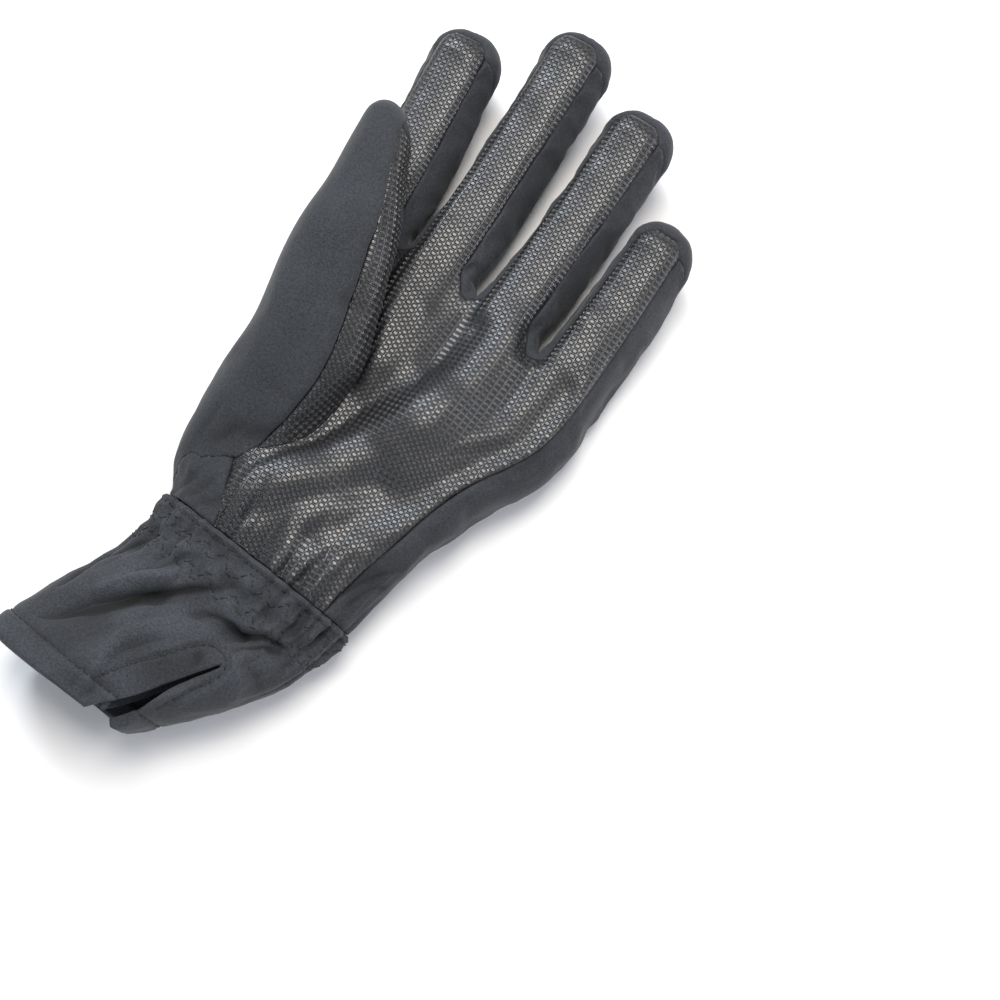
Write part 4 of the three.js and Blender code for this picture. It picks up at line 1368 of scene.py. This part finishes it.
# Folds seen from above: their line, depth and reach, in millimetres
SLEEVE_CREASES = (
    ([(-32, -128), (-24, -118), (-15.5, -108), (-11.6, -102), (0.4, -90.6), (9, -82)], 5.0, 1.5),
    ([(4, -99), (6, -95), (9, -93.4), (14.3, -93.8), (19, -94), (26, -90), (34, -88)], 5.0, 1.3),
    ([(21, -101.5), (22, -98.6), (23.4, -95.8), (27.5, -92.2), (33.4, -89.8)], 2.2, 0.8),
    ([(14.6, -105), (17.2, -109.4)], 1.5, 1.0),
    ([(-36, -118), (-34, -104), (-27, -92), (-22, -84)], 2.6, 1.3),
    ([(-3, -126), (-3.5, -119), (0, -112), (4, -108)], 2.8, 1.3),
    ([(-20, -100), (-14, -92), (-9, -83)], 2.0, 1.1),
    ([(-4, -128), (-2, -133), (-3, -139)], 1.2, 1.6),
    ([(-8, -130), (-7, -134), (-8, -139)], 0.8, 1.4),
    ([(36, -104), (30, -100), (24, -101)], 1.2, 2.0),
)
ROLLS = (
    ([(-4, -136), (-6, -126), (-6.5, -117), (-4, -110), (2, -104), (10, -99), (17, -98)], 2.8, 3.0),
    ([(10, -131), (14, -124), (18, -117), (22, -109)], 1.3, 2.0),
    ([(-26, -112), (-18, -101), (-8, -90)], 3.4, 3.6),
    ([(-14, -116), (-8, -106), (2, -97)], 2.2, 3.0),
    ([(20, -88), (24, -98), (30, -108), (30, -120)], 1.6, 3.0),
)
VENT_STITCH = [
    (-4, -131), (1, -122), (6.4, -114.2), (8.9, -110.2), (10.4, -107.4), (13, -103.2), (16.1, -101.2),
    (20.4, -101.4), (23.2, -103.6), (23.6, -107.4), (21.5, -112.6), (19.2, -116.6), (17.2, -121.4),
    (15, -127),
]
VENT_RIDGE = [
    (4.8, -113.4), (7.3, -109.4), (8.9, -106.4), (11.8, -101.8), (15.6, -99.2), (21.2, -99.4), (25.2, -102.6),
    (25.6, -107.9), (23.4, -113.4), (21.0, -117.6), (19.0, -122.4),
]
SEAM_RIDGE = 0.8
SEAM_RIDGE_WIDTH = 0.75
WRIST_RIDGE_DOWN = 1.3  # from the wrist seam to its turned-in edge
SLEEVE_CALM = 5  # the sleeve's folds are full this far from the wrist seam


def sleeve_turn(y, around):
    middle, half = np.radians(along(VENT, y, 1)), np.radians(along(VENT, y, 2))
    return middle - half - around * 2 * (math.pi - half)


def vent_turn(y, across):
    return np.radians(along(VENT, y, 1) - across * along(VENT, y, 2))


def sleeve_grid(rows):
    around = np.linspace(0, 1, SLEEVE_SEGMENTS + 1)[:, None]
    return on_floor(sleeve_point(rows[None, :], sleeve_turn(rows[None, :], around)))


def above_vent_grid(rows):
    across = np.linspace(-1, 1, VENT_SEGMENTS + 1)[:, None]
    y = rows[None, :] + np.where(rows[None, :] == VENT_TOP_Y, VENT_DOME * (1 - across**2), 0)
    return sleeve_point(y, vent_turn(y, across))


vent_rows = np.linspace(HEM_Y, VENT_TOP_Y, VENT_ROWS + 1)
above_rows = np.linspace(VENT_TOP_Y, WRIST_Y, ABOVE_VENT_ROWS + 1)
sleeve_skin = refine(skin_mesh("sleeve_skin", [
    (0, sleeve_grid(vent_rows), False),
    (0, sleeve_grid(above_rows), False),
    (0, above_vent_grid(above_rows), False),
]))
hem_turns = np.linspace(*HEM_ENDS, HEM_POINTS)
hem_line = (sleeve_point(HEM_Y + HEM_DEPTH, sleeve_turn(HEM_Y + HEM_DEPTH, hem_turns)) + CENTRING) * MM
sleeve_lines = laid_folds(SLEEVE_CREASES, sleeve_skin) + laid_folds(ROLLS, sleeve_skin, -1)
vent_line, vent_facing = dropped(VENT_STITCH, sleeve_skin)
vent_ridge = dropped(VENT_RIDGE, sleeve_skin)[0]


def sleeve_folds(points, normals, from_rim):
    """Folds, rolls and seams of the sleeve, in metres along the normal."""
    y = glove_y(points)
    raised = np.zeros(len(points))
    for size, height in SLEEVE_FOLDS:
        raised += height * MM * waves(points, size)
    crumple_size, crumple_height = CRUMPLE
    crumpled = np.exp(-(((y - CRUMPLE_Y) / CRUMPLE_REACH) ** 2))
    raised += crumple_height * MM * crumpled * waves(points, crumple_size)
    for line, depth, reach in sleeve_lines:
        raised += pressed_in(points, line, depth, reach)
    raised *= smooth(WRIST_Y - y, 0, SLEEVE_CALM)
    raised += HEM_STANDS_OUT * MM * smooth(HEM_Y + HEM_DEPTH - y, 0, HEM_STEP)
    raised += pressed_in(points, hem_line, HEM_GROOVE, SEAM_WIDTH, tapered=False)
    raised += pressed_in(points, vent_line, HEM_GROOVE, SEAM_WIDTH, tapered=False)
    raised -= pressed_in(points, vent_ridge, SEAM_RIDGE, SEAM_RIDGE_WIDTH, tapered=False)
    raised += SEAM_RIDGE * MM * np.exp(-(((y - WRIST_Y + WRIST_RIDGE_DOWN) / SEAM_RIDGE_WIDTH) ** 2))
    return raised


def sleeve_walls(points):
    y = glove_y(points)
    return MM * blend(CUFF_WALL, HEM_WALL, smooth(HEM_Y + HEM_DEPTH - y, 0, 2 * HEM_STEP))


sleeve = sewn_wall("sleeve_shell", sleeve_skin, 0, sleeve_walls, shell_fabric, sleeve_folds)
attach(sleeve, "root")
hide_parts("wrist_gather", "cuff", "hem_band")

# Gusset
# A pleated piece of the same cloth behind the vent, joined to the cuff inside both of its edges.
GUSSET_WALL = 1.4
GUSSET_HALF_TURN = np.array([(-142, 24), (-120, 14), (-100, 9)])  # y, half its width in degrees
GUSSET_TOP_Y = -101
GUSSET_TOP_DEPTH = 4.2
GUSSET_TOP_PLEAT = 1.5
GUSSET_HEM_Y = -137.5
GUSSET_HEM_DEPTH = 9
GUSSET_HEM_PLEAT = 8
PLEAT_ROUNDNESS = 1.5
GUSSET_ROWS = 18
GUSSET_SEGMENTS = 16


def gusset_grid():
    up = np.linspace(0, 1, GUSSET_ROWS + 1)[None, :]
    across = np.linspace(-1, 1, GUSSET_SEGMENTS + 1)[:, None]
    y = blend(GUSSET_HEM_Y, GUSSET_TOP_Y, up) + 0 * across
    turn = np.radians(along(VENT, y, 1) - across * along(GUSSET_HALF_TURN, y, 1))
    point = sleeve_point(y, turn)
    centre = np.stack([along(SECTIONS, y, 1), y, along(SECTIONS, y, 3)], -1)
    inward = unit(centre - point)
    pleat = blend(GUSSET_HEM_PLEAT, GUSSET_TOP_PLEAT, up) * (1 - np.abs(across) ** PLEAT_ROUNDNESS)
    return point + inward * (blend(GUSSET_HEM_DEPTH, GUSSET_TOP_DEPTH, up) + pleat)[..., None]


gusset_skin = refine(skin_mesh("gusset_skin", [(0, gusset_grid(), False)]))
gusset = sewn_wall("cuff_gusset_shell", gusset_skin, 0, GUSSET_WALL, shell_fabric)
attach(gusset, "root")
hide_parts("cuff_gusset")

# Stitching
# Lockstitch in black polyester thread: rows along the hem, round the vent, beside the wrist seam and the
# knuckle seam, and two rows of zigzag that hold the elastic. A stitch is a short length of thread.
STITCH_LENGTH = 2.3
STITCH_PITCH = 3.0
STITCH_RADIUS = 0.28
STITCH_TIP, STITCH_BODY = 0.25, 0.9  # shares of its radius
STITCH_SIDES = 6
STITCH_SUNK = -0.02
STITCH_FLOOR = 0.6  # the lowest that a stitch lies, as the glove rests on the floor
THREAD_BLACK = "#0b0c0d"
THREAD_WORN = "#1b1c1f"
DOUBLE_SEAM = 1.6  # from a double seam's line to each of its rows
CAST_BACK, CAST_FAR = 0.005, 0.009  # metres: the cloth is looked for from this far out, this far in
ROUND_ENDS = (0.012, 0.988)  # shares of the way round from one side of the vent
ROUND_POINTS = 400
WRIST_STITCH_Y = -74.6
ZIGZAG_ROWS = (-79, -87)
ZIGZAG_HEIGHT = 2.6
ZIGZAG_COUNT = 34
ZIGZAG_POINTS = 16


def thread_mesh():
    """A stitch along x, with six sides and tapered ends."""
    mesh = bpy.data.meshes.new("stitch")
    half, radius = STITCH_LENGTH / 2, STITCH_RADIUS
    rings = [
        (-half, STITCH_TIP), (-half + radius, STITCH_BODY), (half - radius, STITCH_BODY), (half, STITCH_TIP),
    ]
    sides = STITCH_SIDES
    points = [
        (x * MM, radius * wide * math.cos(a) * MM, radius * wide * math.sin(a) * MM)
        for x, wide in rings
        for a in np.linspace(0, 2 * math.pi, sides, endpoint=False)
    ]
    faces = [
        (k * sides + i, (k + 1) * sides + i, (k + 1) * sides + (i + 1) % sides, k * sides + (i + 1) % sides)
        for k in range(len(rings) - 1)
        for i in range(sides)
    ]
    faces += [tuple(range(sides)), tuple(reversed(range(len(points) - sides, len(points))))]
    mesh.from_pydata(points, [], [tuple(reversed(face)) for face in faces])
    mesh.polygons.foreach_set("use_smooth", np.ones(len(mesh.polygons), bool))
    mesh.update()
    return mesh


def polyester_thread():
    """Spun polyester thread: near black with a soft gloss, and a fine mottle of noise in its tone and relief
    for its twist.
    """
    material, tree, shader = plain_material("spun_polyester_thread")
    place = node(tree, "ShaderNodeTexCoord").outputs["Object"]
    twist = node(tree, "ShaderNodeTexNoise", {"Vector": place, "Scale": 2600.0, "Detail": 1.0}).outputs["Fac"]
    tree.links.new(two_tones(tree, twist, THREAD_BLACK, THREAD_WORN), shader.inputs["Base Color"])
    shader.inputs["Roughness"].default_value = 0.55
    bump = node(tree, "ShaderNodeBump", {"Height": twist, "Strength": 0.4, "Distance": 0.05 * MM}).outputs[0]
    tree.links.new(bump, shader.inputs["Normal"])
    return material


def stitch_tree():
    """Stitches at an even spacing along lines, each laid along its line with its back to the cloth."""
    tree, given, out = group_tree("running_stitch", [
        ("Stitch", "Object"), ("Spacing", "Float"), ("Material", "Material"),
    ])
    lines = node(tree, "GeometryNodeMeshToCurve", {0: given["Geometry"]}).outputs[0]
    even = node(tree, "GeometryNodeResampleCurve", {
        "Curve": lines, "Length": given["Spacing"],
    }, mode="LENGTH").outputs[0]
    facing = named_attribute(tree, "facing", "FLOAT_VECTOR")
    turned = laid_on(tree, facing, node(tree, "GeometryNodeInputTangent").outputs[0])
    copies(tree, out, even, given["Stitch"], turned, given["Material"])
    return tree


def sewn_row(name, piece, lines):
    """Rows of stitches on the outside of a piece, above the floor, along lines of points with normals."""
    tree = ray_tree(piece.data)
    points, edges, facings = [], [], []
    for line, normals in lines:
        before = None
        for point, normal in zip(line, normals):
            way = Vector(normal)
            place, facing, face, far = tree.ray_cast(Vector(point) + way * CAST_BACK, -way, CAST_FAR)
            if place is None:
                before = None
                continue
            if before is not None:
                edges.append((before, len(points)))
            before = len(points)
            stood = place - way * STITCH_SUNK * MM
            stood.z = max(stood.z, STITCH_FLOOR * MM)
            points.append(stood)
            facings.append(facing)
    mesh = bpy.data.meshes.new(name + "_lines")
    mesh.from_pydata(points, edges, [])
    mesh.attributes.new("facing", "FLOAT_VECTOR", "POINT").data.foreach_set("vector", np.ravel(facings))
    made = made_by(running_stitch, mesh, name, {
        "Stitch": stitch_object, "Spacing": STITCH_PITCH * MM, "Material": thread,
    })
    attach(made, "root")
    return made


def beside(line, normals, by):
    """A line moved sideways on its surface, in millimetres."""
    ahead = np.gradient(line, axis=0)
    return line + unit(np.cross(normals, ahead)) * by * MM, normals


def round_the_sleeve(y, around):
    """A line round the sleeve, and the directions away from its middle."""
    y = np.broadcast_to(y, around.shape)
    points = sleeve_point(y, sleeve_turn(y, around))
    centre = np.stack([along(SECTIONS, y, 1), y, along(SECTIONS, y, 3)], -1)
    return (points + CENTRING) * MM, unit(points - centre)


thread = polyester_thread()
running_stitch = stitch_tree()
stitch_object = new_object("stitch", thread_mesh())
all_round = np.linspace(*ROUND_ENDS, ROUND_POINTS)
zigzag_around = np.linspace(0, 1, ZIGZAG_COUNT * ZIGZAG_POINTS)
zigzag = 2 * np.abs(2 * (zigzag_around * ZIGZAG_COUNT % 1) - 1) - 1
sleeve_stitching = [
    sewn_row(name, sleeve, lines)
    for name, lines in (
        ("hem_stitching", [round_the_sleeve(HEM_Y + HEM_DEPTH, all_round)]),
        ("vent_stitching", [(vent_line, vent_facing)]),
        ("wrist_stitching", [round_the_sleeve(WRIST_STITCH_Y, all_round)]),
        ("elastic_stitching", [
            round_the_sleeve(row + ZIGZAG_HEIGHT * zigzag, zigzag_around) for row in ZIGZAG_ROWS
        ]),
    )
]
sewn_row("knuckle_stitching", back, [
    beside(knuckle_line, knuckle_facing, DOUBLE_SEAM), beside(knuckle_line, knuckle_facing, -DOUBLE_SEAM),
])
bpy.data.objects.remove(stitch_object)
